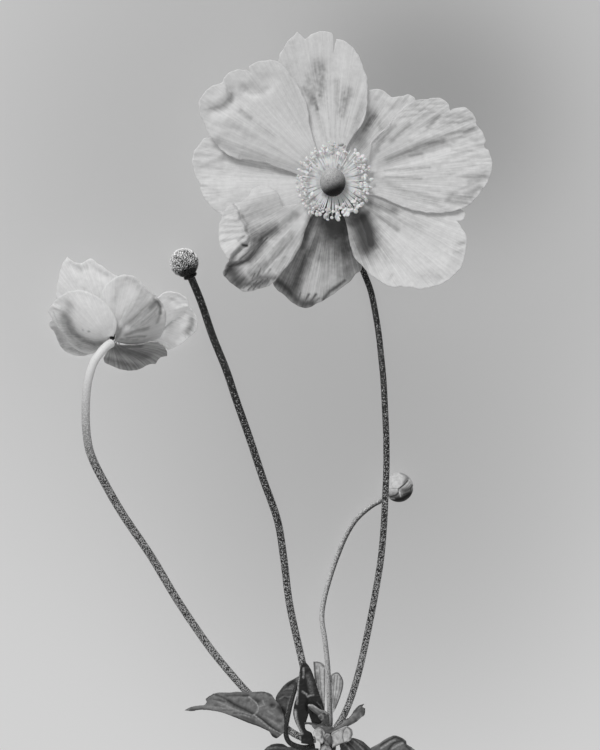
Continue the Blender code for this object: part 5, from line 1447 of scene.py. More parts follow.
def stamen_tree():
    """From one point to a ring of stamens, each with a root at the ball's foot and a head."""
    tree, given = new_tree(
        "stamens", Int=("Count", "Seed"), Vector=("Bright side",), Object=("Filament", "Anther"),
        Float=("Foot", "Level", "Inner reach", "Outer reach", "Inner rise", "Outer rise"),
        Material=("Skin",))
    index = result_of(tree, "GeometryNodeInputIndex")

    def draw(low, high, more):
        return random_node(tree, low, high, math_node(tree, "ADD", given["Seed"], more))

    def add(first, second):
        return math_node(tree, "ADD", first, second)

    def times(first, second):
        return math_node(tree, "MULTIPLY", first, second)

    def from_inner_to_outer(what):
        inner, outer = given["Inner " + what], given["Outer " + what]
        return add(inner, times(math_node(tree, "SUBTRACT", outer, inner), share))

    def vector(x, y, z):
        return result_of(tree, "ShaderNodeCombineXYZ", {0: x, 1: y, 2: z})

    def polar(angle, reach, level):
        return vector(times(math_node(tree, "COSINE", angle), reach),
                      times(math_node(tree, "SINE", angle), reach), level)

    def with_tone(points, tone):
        inputs = {"Geometry": points, "Name": "tone", "Value": tone}
        return result_of(tree, "GeometryNodeStoreNamedAttribute", inputs)

    def shape_of(name):
        return add_node(tree, "GeometryNodeObjectInfo", {0: given[name]}).outputs["Geometry"]

    angle = add(times(index, GOLDEN_TURN), draw(-TURN_DRAW, TURN_DRAW, 1))
    share = math_node(tree, "SQRT", math_node(tree, "DIVIDE", add(index, 0.5), given["Count"]))
    reach = add(from_inner_to_outer("reach"), draw(-REACH_DRAW, REACH_DRAW, 2))
    rise = add(from_inner_to_outer("rise"), draw(-RISE_DRAW, RISE_DRAW, 3))
    root = polar(angle, given["Foot"], given["Level"])
    head = polar(angle, reach, add(given["Level"], rise))
    way = vector_node(tree, "SUBTRACT", head, root)
    length = vector_node(tree, "LENGTH", way)
    side = vector_node(tree, "DOT_PRODUCT", vector_node(tree, "NORMALIZE", way), given["Bright side"])
    points = result_of(tree, "GeometryNodePoints", {"Count": given["Count"], "Position": root})
    along = result_of(tree, "FunctionNodeAlignRotationToVector", {"Vector": way}, axis="X", pivot_axis="Z")
    strips = plant(tree, with_tone(points, draw(*FILAMENT_TONES, 4)), shape_of("Filament"), along,
                   vector(length, 1.0, length))

    # An anther's tone is its own random tone, made paler towards the bright side by painted light.
    tone = math_node(tree, "ADD", draw(*ANTHER_TONES, 5), spread(tree, side, *SIDE_PAINTED_LIGHT), clamp=True)
    inputs = {"Geometry": with_tone(points, tone), "Position": head}
    heads = result_of(tree, "GeometryNodeSetPosition", inputs)
    kept = add(draw(0.0, 1.0, 10), spread(tree, side, *SIDE_KEEP))
    fallen = result_of(tree, "FunctionNodeCompare", {0: kept, 1: FALLEN_BELOW}, operation="LESS_THAN")
    heads = result_of(tree, "GeometryNodeDeleteGeometry", {"Geometry": heads, "Selection": fallen})
    facing = turned_more(tree, along, vector(draw(*ROLLS, 6), draw(*NODS, 7), draw(*SWINGS, 8)))
    size = times(draw(*ANTHER_SIZES, 9), spread(tree, side, *SIDE_SIZE))
    anthers = plant(tree, heads, shape_of("Anther"), facing, size)
    both = with_skin(tree, as_mesh(tree, join(tree, strips, anthers)), given["Skin"])
    add_node(tree, "NodeGroupOutput", {0: both})
    return tree


grow_stamens = stamen_tree()
print("nodes in the stamen tree:", len(grow_stamens.nodes))

# %% Build the two rings of stamens
STAMEN_FOOT = 2.9
SPECK_SCALE = 2600.0
DARK_TONE, PALE_TONE = 0.06, 0.9
FLAT = Matrix.Identity(3)
UPSIDE_DOWN = BOWL_TURN @ Matrix.Rotation(math.pi, 3, "X")

# Filaments and anthers share one skin; the tone stored on each says how pale it is.
stamen_skin, tree, shader = new_material("stamen_skin", Roughness=0.85, Specular_IOR_Level=0.1,
                                         Subsurface_Weight=0.15, Subsurface_Scale=0.4 * MM)
specks = noise_at(tree, place_of(tree), SPECK_SCALE, Detail=2.0)
set_skin(tree, shader, tone_mix(tree, stored(tree, "tone"), DARK_TONE, PALE_TONE), specks, strength=0.4)


def add_stamens(node, count, level, reaches, rises, turn, origin, bright, seed):
    """A ring of stamens, with its inner and outer reach and rise, turned and moved into place."""
    values = {"Count": count, "Foot": STAMEN_FOOT * MM, "Level": level * MM,
              "Inner reach": reaches[0] * MM, "Outer reach": reaches[1] * MM,
              "Inner rise": rises[0] * MM, "Outer rise": rises[1] * MM,
              "Bright side": bright, "Seed": seed, "Filament": filament, "Anther": anther,
              "Skin": stamen_skin}
    mesh = grow(node, new_mesh("seedling", [(0, 0, 0)], [], []), grow_stamens, values)
    mesh.transform(Matrix.Translation(Vector(origin) * MM) @ turn.to_4x4())
    return add_piece(node, mesh, stamen_skin)


report(add_stamens("open_stamens", count=165, level=15.9, reaches=(5.6, 9.4), rises=(2.5, 1.5),
                   turn=FLAT, origin=BLOOM_AT, bright=(0.66, -0.75, 0), seed=7))
report(add_stamens("half_stamens", count=40, level=5.8, reaches=(4.7, 7.2), rises=(4.0, 3.6),
                   turn=UPSIDE_DOWN, origin=BOWL_AT, bright=(0, -1, 0), seed=11))

# %% [markdown]
# ## Seed head and bud
# After the tepals fall, the ball of carpels swells and grows woolly: pale grains over a dark
# ground, with a little collar where the flower sat; its lower side is painted darker, which is
# painted shade. The bud is a ball of tepals wrapped over each other. Their edges are marks again:
# the ball dips along them, and painted shade darkens it beside them. Its lower side is painted dark
# too, partly its own darker sepal and partly painted shade.

# %% Seed head
SEED_AT = Vector((-21.5, 36.9, 4.6))
SEED_RADIUS, WOOL_LIFT = 3.65, 0.16
SEED_SIDES, SEED_ROWS, SEED_BOTTOM = 52, 26, 24
WOOL_SIZE, WOOL_SPACING, WOOL_TILT = (0.095, 0.45, 0.11), 0.31, 0.5
# The seed head's foot is painted darker: painted shade on its lower side, away from the light.
SHADED_FOOT = ((-20.3, 33.9, 6.0), 2.6)
COLLAR = [(0.2, 0.92), (0.35, 1.2), (0.5, 1.62), (0.75, 1.72), (0.95, 1.6), (1.1, 1.1)]

seed_skin = grain_material("seed_ground_skin", 0.02, 0.08, 1800.0, SHADED_FOOT)
wool_skin = grain_material("wool_skin", 0.5, 1.0, 2600.0, SHADED_FOOT, roughness=0.7)
foot = Vector(SEED_STEM[-1])
way = SEED_AT - foot
profile = COLLAR + ball_profile(way.length, SEED_RADIUS - WOOL_LIFT, SEED_BOTTOM, BALL_TOP, SEED_ROWS)
ball = turned(profile, SEED_SIDES, way, foot)
woolly = with_grains("seed_head", ball, WOOL_SPACING, WOOL_SIZE, WOOL_TILT, seed_skin, wool_skin, seed=9)
report(light_as_round(add_piece("seed_head", woolly, seed_skin)))

# %% Bud
BUD_AT = Vector((32.25, -19.4, 4.1))
BUD_RADIUS, BUD_SWELL, BUD_DEEPEST = 3.6, 0.1, 0.45
BUD_SHAPE = (0.98, 1.0, 0.97)
BUD_RINGS, BUD_SIDES = 65, 96
BUD_TONES, BUD_DARK, SILK_SCALE = (0.52, 0.74), 0.015, 1100.0
# Marks are measured from the bud's middle: edges that dip; dark marks, which paint shade beside the
# edges and a lower side that is partly its own darker sepal and partly painted shade; and pale lines
# that take that shade away.
BUD_LAPS = [(0.2, 0.3, 2.5, 2, 1.9, 1.25, 0.9, 0.25, -0.2, -0.45),
    (0.13, 0.16, -0.2, -0.45, -1.1, -0.35, -2.6, -0.5),
    (0.16, 0.3, -0.1, -0.45, -0.12, -1.3, -0.8, -2, -2.6, -2.5),
    (0.25, 0.25, 0.15, -1.1, 0.9, -1.4, 2.2, -0.9, 3.4, 0.1)]
BUD_SHADE = [(0.2, 0.98, 2.3, 1.75, 1.6, 0.95, 0.7, 0.2, -0.1, -0.45),
    (0.13, 0.8, -0.1, -0.5, -0.15, -1.3), (0.3, 0.95, -0.15, -1.4, -0.7, -2, -2.5, -2.5),
    (1.6, 1, -1.8, -3.2, 0.9, -2.8, 2.8, -1.6), (0.5, 0.95, 1.2, -1.7, 2.6, -1.2),
    (0.35, 0.9, 2.9, -0.9, 3.3, 0.4), (0.14, 0.7, 1.2, -0.9, 2.2, -0.2, 3, 0.7),
    (0.12, 0.5, 0.9, -0.5, 2.2, 0.6, 2.7, 1.3), (0.4, 0.6, 2, 2.3, 1.3, 1.2),
    (0.8, 0.75, 1, -0.6, 2.6, -0.4), (0.2, 0.5, 2.6, 2.1, 1.6, 3, 0.4, 3.5),
    (0.35, 0.5, -2.4, -2.9, -0.8, -3.3)]
BUD_PALE = [(0.14, 0.8, 0.1, -1, 0.4, -2.2), (0.14, 0.6, -2.4, -2.75, -1.1, -2.75)]


def bud_mesh():
    """A ball whose surface dips where the edges of the wrapped tepals lie."""
    directions = []
    for ring in range(BUD_RINGS):
        polar = math.pi * (0.5 + ring) / BUD_RINGS
        for step in range(BUD_SIDES):
            turn = FULL_TURN * step / BUD_SIDES
            level = math.sin(polar)
            directions.append((level * math.cos(turn), level * math.sin(turn), math.cos(polar)))
    directions = np.array(directions)
    plan = directions[:, :2] * BUD_RADIUS
    reach = BUD_RADIUS + BUD_SWELL - np.minimum(strokes(plan, BUD_LAPS), BUD_DEEPEST)
    shade = np.clip(strokes(plan, BUD_SHADE) - strokes(plan, BUD_PALE), 0, 1)
    places = np.array(BUD_AT) + directions * reach[:, None] * np.array(BUD_SHAPE)
    faces = [(a, d, c, b) for a, b, c, d in tube_faces(BUD_RINGS, BUD_SIDES)]
    last = (BUD_RINGS - 1) * BUD_SIDES
    caps = [tuple(range(BUD_SIDES)), tuple(reversed(range(last, last + BUD_SIDES)))]
    return store(new_mesh("fine_bud", (places * MM).tolist(), [], faces + caps), flush=shade)


bud_skin, tree, shader = new_material("bud_skin", Roughness=0.7, Specular_IOR_Level=0.2)
silk = noise_at(tree, place_of(tree), SILK_SCALE, Detail=4.0)
pale = tone_mix(tree, spread(tree, silk, *MIDDLE), *BUD_TONES)
# Where the stored marks are strong the bud is painted down to its darkest tone: painted shade beside its
# tepals' edges and on its lower side, with its own darker sepal there.
set_skin(tree, shader, tone_mix(tree, stored(tree, "flush"), pale, BUD_DARK), silk, strength=0.4)
report(add_piece("bud", bud_mesh(), bud_skin))

# %% [markdown]
# ## Leaves
# The leaves are thin blades too, so they are made as the tepals are. What makes them leaves is
# their veins: a midrib and side veins that are raised, with the blade bulging a little between
# them. Pale marks are veins and lit rims; dark marks are dips and shaded folds. Both shape the mesh,
# and both are stored on it, so that the skin can draw a vein paler than the blade: the pale marks
# also paint highlights on the lit rims, and the dark marks paint shade in the dips and folds. In the
# tables, rise holds a blade's height at its foot and at its tip, arch lifts its middle, and fold its
# sides.

# %% Sizes of the leaves
LEAF_THICKNESS = 0.36
LEAF_MARK_DEPTH = 1.2
LEAF_GRID, SMALL_LEAF_GRID = 0.19, 0.13
LEAVES = {}
print("grid of a leaf:", LEAF_GRID, "mm, of a small one:", SMALL_LEAF_GRID, "mm")

# %% The left leaf and its upper lobe
LEAVES["leaf_left"] = dict(
    foot=(3.2, -79), tip=(-21.4, -75.3), rise=(6.2, 3.0), arch=0.8, fold=-0.1, tone="mid",
    outline=[(3.4, -76.2), (2.6, -74.2), (1.3, -72.6), (0.3, -71.3), (-1.4, -70.6), (-3.6, -70.6),
        (-5.7, -70.7), (-8.5, -70.6), (-10.2, -70.8), (-12.7, -70.8), (-14.1, -71.1), (-15.1, -71.7),
        (-16.1, -72.5), (-15.8, -73.2), (-16.4, -73.9), (-17.8, -74.1), (-19.9, -74.5), (-21.4, -75.3),
        (-19.9, -75.4), (-17.2, -75.1), (-14.6, -75.3), (-12, -75.8), (-9.2, -76.8), (-6.2, -78),
        (-2.7, -79.3), (-0.3, -80.4), (0.5, -81.6), (1.6, -82.2), (2.1, -81.9), (2.8, -81.3), (3.6, -80.4),
        (3.6, -78)],
    dark=[(0.42, 0.85, 2.4, -80.9, 0.1, -79.2, -1.8, -77.6, -3.5, -76.5),
        (0.6, 0.8, 0.3, -73.9, 0.9, -74.1),
        (0.5, 0.85, -4.4, -76.1, -6.7, -74.95, -9.2, -73.7, -10.4, -72.9),
        (0.8, 0.85, 2.4, -74.6, 3.2, -75.6), (0.3, 0.6, -10.4, -72.9, -11.8, -72.1, -13.4, -71.5),
        (0.7, 0.8, -3.4, -72.9, -3, -73.1), (0.35, 0.6, -4.2, -72.5, -3.6, -73),
        (0.25, 0.8, -6.8, -71.6, -5.4, -71.6), (0.5, 0.5, 2, -77.9, 2.6, -78),
        (0.22, 0.6, -9, -75.95, -6.5, -76.2, -4.6, -76.7),
        (0.4, 0.5, -7.1, -76.95, -5.4, -77.5, -3.9, -78.2),
        (0.22, 0.8, -9.3, -76.7, -6.2, -77.85, -2.7, -79.15, -0.6, -80.2),
        (0.5, 1, 0.6, -81.5, 1.7, -82.1), (0.2, 0.45, -14.1, -72.6, -12.6, -72.9, -11.3, -73.2),
        (0.2, 0.4, -13.7, -74.2, -11.3, -74.6), (0.2, 0.4, -11.6, -75.2, -9.5, -75.4),
        (0.3, 0.4, -10.5, -71.7, -7, -71.6), (0.2, 0.6, -20, -75.25, -17, -75, -14.6, -75.2),
        (0.2, 0.7, -16.2, -72.6, -15.2, -71.8, -14.1, -71.2),
        (0.3, 0.5, -3, -70.8, -1, -70.8, 0.2, -71.6)],
    pale=[(0.16, 0.9, 2.8, -81.1, 0, -79.7, -3.5, -76.8, -4.1, -76.4),
        (0.15, 0.5, -1.8, -72.8, -1.3, -74, -2.6, -74.3),
        (0.13, 0.9, -3.9, -76.4, -3, -75.4, -2.9, -74.4, -3.4, -73.5, -4.25, -72.6, -5.3, -71.9),
        (0.2, 0.45, -4.3, -76.6, -9, -75, -13, -73.2), (0.5, 0.3, -6, -76.2, -12, -74.6, -17, -74.4),
        (0.15, 0.5, -8, -76, -5, -76.9), (0.25, 0.4, 1.2, -76.6, -0.6, -75.4),
        (0.3, 0.35, 2.6, -79.3, -1, -77)])
LEAVES["leaf_left_upper"] = dict(
    foot=(4.2, -79), tip=(7, -66.7), rise=(4.5, 4.7), arch=0.0, fold=0.0, tone="dark",
    outline=[(3.4, -80), (2.6, -76.5), (1.9, -74.6), (1.4, -73), (1.6, -71.6), (2.6, -70.1), (3.9, -68.6),
        (5.4, -67.7), (7.2, -66.7), (7.3, -68), (6.8, -70), (6.2, -72), (5.3, -75), (4.8, -77.5),
        (4.6, -79.8)],
    dark=[(0.9, 0.8, 2.4, -74.6, 3.6, -76), (0.5, 0.6, 4.6, -69, 5.8, -68.2),
        (0.4, 0.6, 3.2, -71.6, 4.4, -72.6)],
    pale=[(0.16, 0.6, 7, -67.2, 5.9, -70.6, 4.6, -73.6, 4, -77.5),
        (0.14, 0.6, 5.2, -72, 3.6, -71.6, 2.4, -72.4), (0.14, 0.5, 6, -70, 4.4, -69.8, 3.4, -70.2),
        (0.14, 0.4, 4.6, -74.2, 3, -74, 2, -74.6)])
print("drawn:", "leaf_left", "leaf_left_upper")

# %% The upright leaf and the two bracts
LEAVES["leaf_upright"] = dict(
    foot=(12, -81.6), tip=(8.4, -62.6), rise=(5.2, 6.3), arch=0.8, fold=0.22, tone="glossy",
    outline=[(8.4, -62.6), (9.5, -63.8), (10.4, -65.4), (11.4, -68.2), (12.3, -71), (13.1, -73.2),
        (13.6, -75.4), (13.2, -77.4), (12.4, -78.7), (10.5, -78.4), (9.65, -75.8), (9, -78.1), (8.7, -79),
        (9.1, -80.1), (10.3, -80.8), (10.8, -82.2), (10.9, -83.9), (7.8, -83.4), (7.8, -81.4),
        (7.1, -79.7), (6.2, -77.7), (5.8, -75.7), (6.2, -73.2), (6.8, -71), (6.9, -69), (7.2, -67.2),
        (7.6, -64.5)],
    dark=[(0.5, 0.6, 9, -66, 9.6, -70, 9.4, -75)],
    pale=[(0.3, 1, 7.9, -81, 7.1, -79.2, 6.5, -77.2, 6.3, -75.2),
        (0.2, 1, 7.2, -66, 6.95, -69, 6.8, -71.5, 6.7, -73.5), (0.18, 0.9, 8.4, -64.6, 8.3, -67),
        (0.2, 0.8, 8.1, -70.5, 9.1, -71.15, 9.3, -71.8, 10.1, -71.4, 10.9, -71.3),
        (0.6, 0.25, 9.4, -66.5, 10.2, -69.5, 10.4, -70.6), (0.12, 0.3, 11.8, -73.1, 13.1, -74.7)])
LEAVES["bract_left"] = dict(
    foot=(13.2, -79.3), tip=(12, -62.9), rise=(3.8, 3.9), arch=0.4, fold=0.05, tone="young",
    outline=[(12.8, -79.2), (12.5, -76.5), (12, -72.5), (11.5, -69.5), (11.1, -66.2), (10.9, -63.1),
        (12.1, -63.1), (13.2, -63.6), (13.7, -64.5), (13.8, -67.5), (13.8, -71.2), (13.7, -75.5),
        (13.6, -79.2)],
    dark=[(0.3, 0.85, 11.1, -63.3, 11.2, -65, 11.6, -68.4),
        (0.25, 0.7, 11.4, -63.2, 12.6, -63.4, 13.6, -64.4), (0.4, 0.5, 12, -66, 12.4, -70),
        (0.2, 0.75, 13.7, -65, 13.75, -72), (0.16, 0.7, 12.3, -64.4, 12.7, -69, 13, -74)],
    pale=[(0.15, 0.4, 12.8, -75, 12.4, -69, 12.1, -64.4), (0.3, 0.3, 13, -66, 13.2, -71)])
LEAVES["bract_right"] = dict(
    foot=(15.5, -76), tip=(16.9, -65.9), rise=(4.8, 3.7), arch=-0.3, fold=0.0, tone="young",
    outline=[(15.5, -76), (15.5, -72), (15.4, -69), (15.3, -66.6), (16, -66), (16.9, -65.8), (17.5, -66.3),
        (18.2, -67.6), (18.3, -69), (17.9, -70.8), (17.3, -72.6), (16.4, -74.8), (15.7, -76)],
    dark=[(0.2, 0.95, 15.4, -74, 15.4, -69, 15.4, -66.7, 16, -66.1, 16.9, -65.9, 17.5, -66.4, 18.1, -67.6,
         18.2, -69, 17.8, -70.8, 17.2, -72.6, 16.3, -74.8),
        (0.16, 0.8, 15.9, -74.6, 16.6, -70, 16.9, -66.6), (0.15, 0.7, 15.7, -73.5, 16, -69, 16.2, -66.6),
        (0.15, 0.7, 16.2, -74.4, 17.4, -70, 17.6, -67.4)],
    pale=[(0.2, 0.3, 16.3, -72, 16.6, -67), (0.2, 0.3, 17.1, -71, 17.3, -67.4)])
print("drawn:", "leaf_upright", "bract_left", "bract_right")

# %% The small toothed leaf and the curled leaflet
LEAVES["leaf_small"] = dict(
    foot=(9, -78.6), tip=(23.6, -74.2), rise=(6.7, 4.8), arch=0.2, fold=0.06, tone="young_dark",
    outline=[(8.6, -78.2), (10.7, -78.35), (12.2, -78.7), (14.1, -78.8), (15.25, -79.05), (16.1, -79.45),
        (17.2, -78.7), (18.1, -78.2), (18.2, -77.4), (19.6, -77.2), (20.9, -75.6), (22.2, -74.2),
        (23.5, -73.6), (23, -74.35), (23.75, -74.7), (23.8, -75.7), (23.5, -76.5), (22.6, -77.1),
        (21.7, -77.9), (20.05, -78.8), (18.4, -79.7), (17, -80.6), (15.5, -80.9), (13.7, -80.8),
        (11.6, -80.2), (10.7, -79.4), (10.2, -78.7), (8.6, -78.55)],
    dark=[(0.14, 0.8, 8.6, -78.4, 10.7, -78.5, 12.2, -78.85, 14.1, -78.95, 15.3, -79.2),
        (0.6, 0.5, 15.2, -79.9, 15.9, -80.2), (0.14, 0.7, 16.1, -79.6, 17.2, -78.9, 18.1, -78.3),
        (0.7, 0.45, 21.6, -75.4, 23.2, -75.6),
        (0.16, 0.7, 18.3, -77.6, 19.6, -77.4, 20.9, -75.8, 22.2, -74.4, 23.3, -73.7),
        (0.18, 0.8, 23.7, -74.9, 23.7, -75.8, 23.4, -76.4),
        (0.16, 0.7, 22.4, -77, 21.6, -77.7, 20, -78.6, 18.6, -79.4)],
    pale=[(0.15, 0.6, 22.9, -76.8, 21.9, -77.5), (0.3, 0.25, 17.5, -79.4, 20.5, -77, 22.4, -75.2),
        (0.15, 0.4, 13, -79.2, 15, -79.6)])
LEAVES["leaf_curled"] = dict(
    foot=(14.3, -79), tip=(9.6, -73.7), rise=(7.2, 8.4), arch=1.0, fold=-0.15, tone="young_dark",
    outline=[(14, -79), (13.5, -78.3), (12.3, -77.2), (11.8, -76.3), (10.65, -75.4), (9.6, -74.3),
        (9.5, -73.6), (10.7, -73.7), (12.6, -74.9), (13.6, -75.1), (14.5, -75.9), (14.75, -76.8),
        (14.6, -77.8), (14.3, -79)],
    dark=[(0.3, 0.8, 13.4, -75.9, 13.7, -76.1), (0.6, 0.5, 13.8, -76.8, 14, -78.2),
        (0.25, 0.6, 9.9, -74.4, 11.8, -76.1, 13.2, -78), (0.2, 0.7, 14.5, -76.2, 14.6, -77.6)],
    pale=[(0.16, 1, 9.7, -73.8, 10.7, -73.9, 12.6, -75.15, 13.5, -75.35, 14.2, -75.9),
        (0.12, 0.6, 13, -75.6, 13.7, -75.5),
        (0.16, 0.7, 12.2, -76.5, 12.7, -76.1, 13.2, -76.5, 13.2, -77.2, 12.8, -77.5)])
print("drawn:", "leaf_small", "leaf_curled")

# %% The four round lobes
LEAVES["lobe_left"] = dict(
    foot=(13.4, -81), tip=(11, -81), rise=(7.5, 7.1), arch=0.3, fold=0.0, tone="young",
    outline=[(11.1, -80.2), (11.9, -79.4), (12.7, -79.6), (13.4, -80.2), (13.7, -80.9), (13.3, -81.8),
        (13.4, -82.8), (13, -83.5), (12.1, -82.9), (11.4, -82), (11, -81.1)],
    dark=[(0.35, 0.75, 12.9, -80.4, 13.1, -81.2, 12.9, -81.9), (0.14, 0.7, 12, -82.2, 12.8, -83.2),
        (0.15, 0.6, 11.5, -79.9, 11.95, -79.5, 12.8, -79.8, 13.4, -80.4)],
    pale=[(0.16, 0.9, 11.2, -80.5, 11.2, -81.2, 11.8, -82.2), (0.2, 0.9, 12, -82, 12.6, -82.8, 13, -83.1),
        (0.14, 0.6, 12.1, -80.5, 12.6, -81.3), (0.12, 0.4, 11.6, -80.2, 12.2, -80.9)])
LEAVES["lobe_middle"] = dict(
    foot=(14.4, -83.8), tip=(14.4, -81), rise=(7.4, 7.5), arch=0.2, fold=0.0, tone="young_dark",
    outline=[(13.8, -80.8), (14.9, -80.95), (15.4, -81.8), (15.45, -83.2), (14.9, -84.1), (14, -84),
        (13.5, -82.9), (13.3, -81.9)],
    dark=[(0.16, 0.85, 15.2, -81.3, 15.3, -82.2, 15.25, -83.2, 14.9, -83.9),
        (0.2, 0.8, 13.6, -82.3, 13.9, -82.7), (0.18, 0.7, 14.3, -82.7, 14.5, -83.2),
        (0.14, 0.6, 13.4, -81.8, 13.8, -81)],
    pale=[(0.14, 0.8, 13.6, -81.7, 14.1, -81.1, 14.8, -81.3), (0.12, 0.6, 14.1, -82, 14.6, -81.7),
        (0.12, 0.5, 13.9, -83.2, 14.5, -83.7)])
LEAVES["lobe_right"] = dict(
    foot=(15.8, -82.5), tip=(20.5, -81), rise=(6.6, 6.2), arch=0.5, fold=0.0, tone="young",
    outline=[(15.4, -80.9), (16.5, -80.2), (17.6, -79.7), (18.4, -79.3), (19.2, -79.1), (20.2, -79.7),
        (20.7, -80.6), (20.6, -81.6), (20.1, -82.6), (19.3, -83.1), (18, -83.4), (17, -83.9),
        (15.6, -84.5), (15.35, -82.5)],
    dark=[(0.16, 0.8, 18.9, -79.5, 18.3, -80.6, 18.15, -81.8, 18.4, -82.9),
        (0.3, 0.3, 16.6, -81.8, 16.9, -82.2),
        (0.2, 0.85, 19.3, -79.4, 20.2, -80.1, 20.45, -81.2, 19.95, -82.4),
        (0.16, 0.85, 15.8, -84.3, 17, -83.8, 18, -83.4, 19.2, -83),
        (0.14, 0.5, 15.6, -81.2, 16.6, -80.5, 17.8, -79.9)],
    pale=[(0.14, 0.5, 18.7, -80.4, 19.4, -80.2, 19.9, -80.8, 19.6, -81.9, 18.8, -82.6),
        (0.12, 0.4, 16, -82, 17.2, -81.2, 17.8, -81.8, 17.2, -82.8, 16.2, -82.9),
        (0.3, 0.4, 16, -83.6, 17, -83.2), (0.12, 0.4, 17.8, -80.4, 17.4, -81)])
LEAVES["lobe_low"] = dict(
    foot=(14.6, -84), tip=(14, -87), rise=(6.3, 4.6), arch=0.2, fold=0.0, tone="young",
    outline=[(13.6, -83.5), (12.8, -84.3), (12.4, -85.6), (13.2, -87), (14.8, -86.8), (15.4, -85.4),
        (15, -84.3), (14.5, -83.9)],
    dark=[(0.16, 0.85, 13.6, -83.6, 12.9, -84.3, 12.5, -85.4), (0.25, 0.5, 13.9, -84.9, 14.3, -85.6)],
    pale=[(0.15, 0.8, 13.9, -84.2, 13.3, -85, 13.4, -86), (0.14, 0.8, 14.6, -84.4, 15, -85.2)])
print("drawn:", "lobe_left", "lobe_middle", "lobe_right", "lobe_low")

# %% The three lower leaves
LEAVES["leaf_right_low"] = dict(
    foot=(17.9, -83.6), tip=(26, -87), rise=(4.3, 3.6), arch=0.6, fold=-0.1, tone="dark",
    outline=[(17.4, -83.2), (18.4, -83.3), (19.2, -82.7), (20.6, -82.2), (21.4, -82.3), (23, -82.9),
        (24.2, -83.9), (25.3, -85.1), (26, -87), (24.8, -88.2), (22.2, -87.9), (19.6, -86.4),
        (17.6, -84.6)],
    dark=[(0.4, 0.6, 19.4, -83.3, 21, -84.9, 22, -86.6),
        (0.4, 0.6, 21.6, -82.8, 23.4, -84.2, 24.6, -85.8)],
    pale=[(0.16, 0.8, 20.3, -82.4, 22, -83.8, 23.2, -85, 24, -87),
        (0.2, 0.9, 18.5, -83.5, 19.6, -84.6, 20.6, -86.2), (0.12, 0.4, 21.4, -82.5, 23.4, -84),
        (0.12, 0.35, 19.5, -83, 21, -84.4, 22, -86)])
LEAVES["leaf_right"] = dict(
    foot=(17.4, -84.6), tip=(37, -86.3), rise=(2.3, 1.6), arch=0.3, fold=-0.04, tone="mid",
    outline=[(17.7, -84.5), (21.5, -85.6), (24.4, -85.3), (25.3, -84.7), (27.4, -83.6), (29, -82.5),
        (31, -81.7), (32.6, -82.1), (34, -83), (34.3, -83.9), (35.6, -84.7), (37, -86.3), (36.2, -88.5),
        (33.5, -89.8), (30, -89.5), (26.5, -88), (22, -86.8), (17.5, -85.6)],
    dark=[(0.4, 0.8, 27.9, -84.1, 29.7, -82.9, 31.5, -82.1, 32.8, -82.6, 33.9, -83.6),
        (0.3, 0.7, 34.2, -84.4, 35.2, -85.4), (0.45, 0.75, 29.8, -85.2, 31, -83.6, 32.8, -83.1),
        (0.4, 0.6, 27, -86, 30, -85.8, 34, -86)],
    pale=[(0.18, 0.85, 27.8, -84.9, 29, -84.1, 30.3, -83.2, 31.3, -82.9),
        (0.2, 0.8, 30.6, -85, 32, -84.2, 33.3, -83.6), (0.15, 0.4, 26.4, -84.4, 28.6, -83, 30.6, -82.1),
        (0.2, 0.6, 26, -86.4, 30, -86.6, 35, -87.4)])
LEAVES["leaf_bottom_left"] = dict(
    foot=(12, -85.2), tip=(-2.2, -87), rise=(2.3, 1.4), arch=0.3, fold=-0.03, tone="dark",
    outline=[(12.2, -84.9), (9, -84.5), (6.8, -84), (4.6, -84.5), (3.2, -83.8), (1.5, -83.7), (0, -84.1),
        (-1.4, -85.2), (-2.2, -87), (-1.5, -89), (1, -90.2), (4.5, -89.6), (7.5, -88), (10.2, -86.2),
        (12.1, -85.5)],
    dark=[(0.35, 0.6, 4, -84.6, 0.4, -84.4), (0.3, 0.5, 3.6, -85.4, -0.6, -85.6),
        (0.3, 0.4, 8, -86, 2, -88)],
    pale=[(0.14, 0.6, -0.6, -85.1, 1.6, -84.5, 3.8, -84.7), (0.16, 0.5, 11.6, -85.2, 5, -86.2, -1.6, -87),
        (0.13, 0.4, 7, -86, 4, -88.6), (0.13, 0.4, 3.4, -86.4, 0.4, -89)])
print("drawn:", "leaf_right_low", "leaf_right", "leaf_bottom_left")

# %% Leaf skins
CELL_SCALE, LEAF_BLOT_SCALE, VEIN_BLOT_SCALE = 1500.0, 900.0, 2200.0
COAT_ROUGHNESS = 0.15
# At its dark marks a blade is painted down to this share of its tone: painted shade in dips and folds.
DARK_SHARE, CELL_RELIEF = 0.15, 0.4
VEIN_EDGE = (0.38, 0.58, 0.45, 1.1)


def leaf_material(name, blade, pale_tone, roughness, blotch=0.3, coat=0.0):
    """A cellular blade with uneven pale veins and painted highlights on lit rims, darkened by painted
    shade at its dark marks; blotch is how much its tone varies.
    """
    material, tree, shader = new_material(name, Roughness=roughness, Specular_IOR_Level=0.4,
                                          Coat_Weight=coat, Coat_Roughness=COAT_ROUGHNESS)
    place = place_of(tree)
    cells = result_of(tree, "ShaderNodeTexVoronoi", {"Vector": place, "Scale": CELL_SCALE})
    blots = noise_at(tree, place, LEAF_BLOT_SCALE, Detail=4.0)
    uneven = spread(tree, noise_at(tree, place, VEIN_BLOT_SCALE), *VEIN_EDGE)
    ground = tone_mix(tree, spread(tree, blots, *MIDDLE), blade * (1 - blotch), blade * (1 + blotch))
    ground = tone_mix(tree, stored(tree, "flush"), ground, blade * DARK_SHARE)
    vein = math_node(tree, "MULTIPLY", stored(tree, "vein"), uneven)
    relief = math_node(tree, "ADD", math_node(tree, "MULTIPLY", cells, CELL_RELIEF), blots)
    set_skin(tree, shader, tone_mix(tree, vein, ground, pale_tone), relief, depth=0.15)
    return material


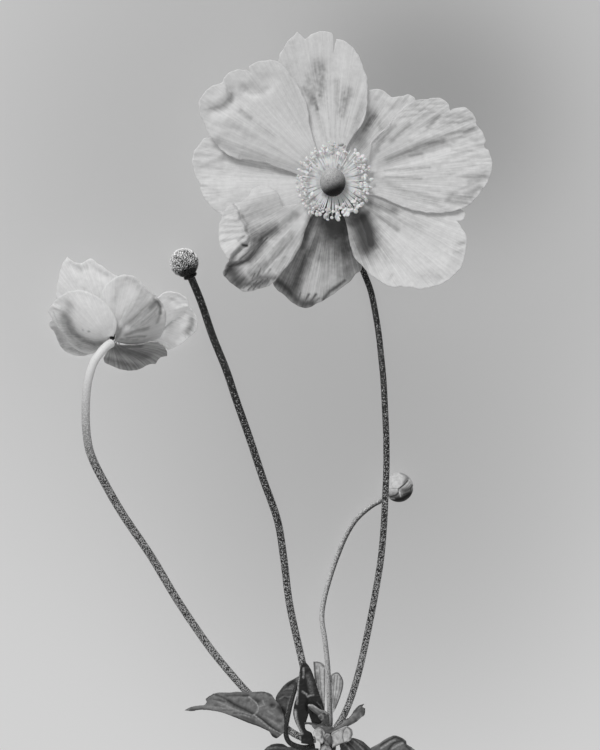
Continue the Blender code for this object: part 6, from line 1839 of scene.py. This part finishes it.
LEAF_SKINS = {
    # Each skin: its blade's tone, its veins' tone and its roughness.
    "mid": leaf_material("leaf_skin", 0.145, 0.42, 0.5),
    "dark": leaf_material("dark_leaf_skin", 0.07, 0.3, 0.45),
    "glossy": leaf_material("glossy_leaf_skin", 0.008, 0.5, 0.45, coat=0.1),
    "young": leaf_material("young_leaf_skin", 0.47, 0.72, 0.5, blotch=0.38),
    "young_dark": leaf_material("young_dark_leaf_skin", 0.14, 0.45, 0.45, blotch=0.4),
}
print("leaf skins:", sorted(LEAF_SKINS))

# %% Build the leaves
LEAF_SEED, RIB_SEED = 40.5, 3
SHORT_LEAF, SMALL_SIZE = 10, 0.5
VEIN_RISE, DIP, BULGE, BULGE_SIZE, RIBS = 0.12, 0.26, 0.10, 1.6, 0.05
VEIN_TONE = 0.9
RIB_STRETCH = (2, 0.4)


def leaf_mesh(name, shape, seed):
    """One blade: it rises from foot to tip, bulges, dips at its dark marks and rises at its veins."""
    foot, tip = np.array(shape["foot"]), np.array(shape["tip"])
    length = float(np.hypot(*(tip - foot)))
    small = name.startswith(("bract", "lobe")) or length < SHORT_LEAF
    grid = SMALL_LEAF_GRID if small else LEAF_GRID
    points, faces, rim = fine_sheet(smooth_outline(shape["outline"], grid), grid)
    ahead = (tip - foot) / length
    share = (points - foot) @ ahead / length
    side = (points[:, 0] - foot[0]) * ahead[1] - (points[:, 1] - foot[1]) * ahead[0]
    low, high = shape["rise"]
    height = low + (high - low) * share + shape["arch"] * np.sin(math.pi * np.clip(share, 0, 1))
    height += shape["fold"] * np.abs(side)
    # The dark marks are stored as painted shade, the pale ones as veins and painted highlights on lit
    # rims.
    flush = np.clip(LEAF_MARK_DEPTH * strokes(points, shape["dark"]), 0, 1)
    vein = np.clip(strokes(points, shape["pale"]), 0, 1)
    along = np.column_stack([share * length, side]) * RIB_STRETCH
    relief = VEIN_RISE * vein - DIP * flush + BULGE * clouds(points, BULGE_SIZE, seed)
    relief += RIBS * clouds(along, 1.0, seed + RIB_SEED)
    height += (SMALL_SIZE if small else 1.0) * relief
    return sheet_mesh(name, np.column_stack([points, height]), faces, flush=flush, vein=vein * VEIN_TONE)


for seed, (name, shape) in enumerate(LEAVES.items()):
    blade = add_piece(name, leaf_mesh(name, shape, seed + LEAF_SEED), LEAF_SKINS[shape["tone"]])
    report(thicken(blade, LEAF_THICKNESS))
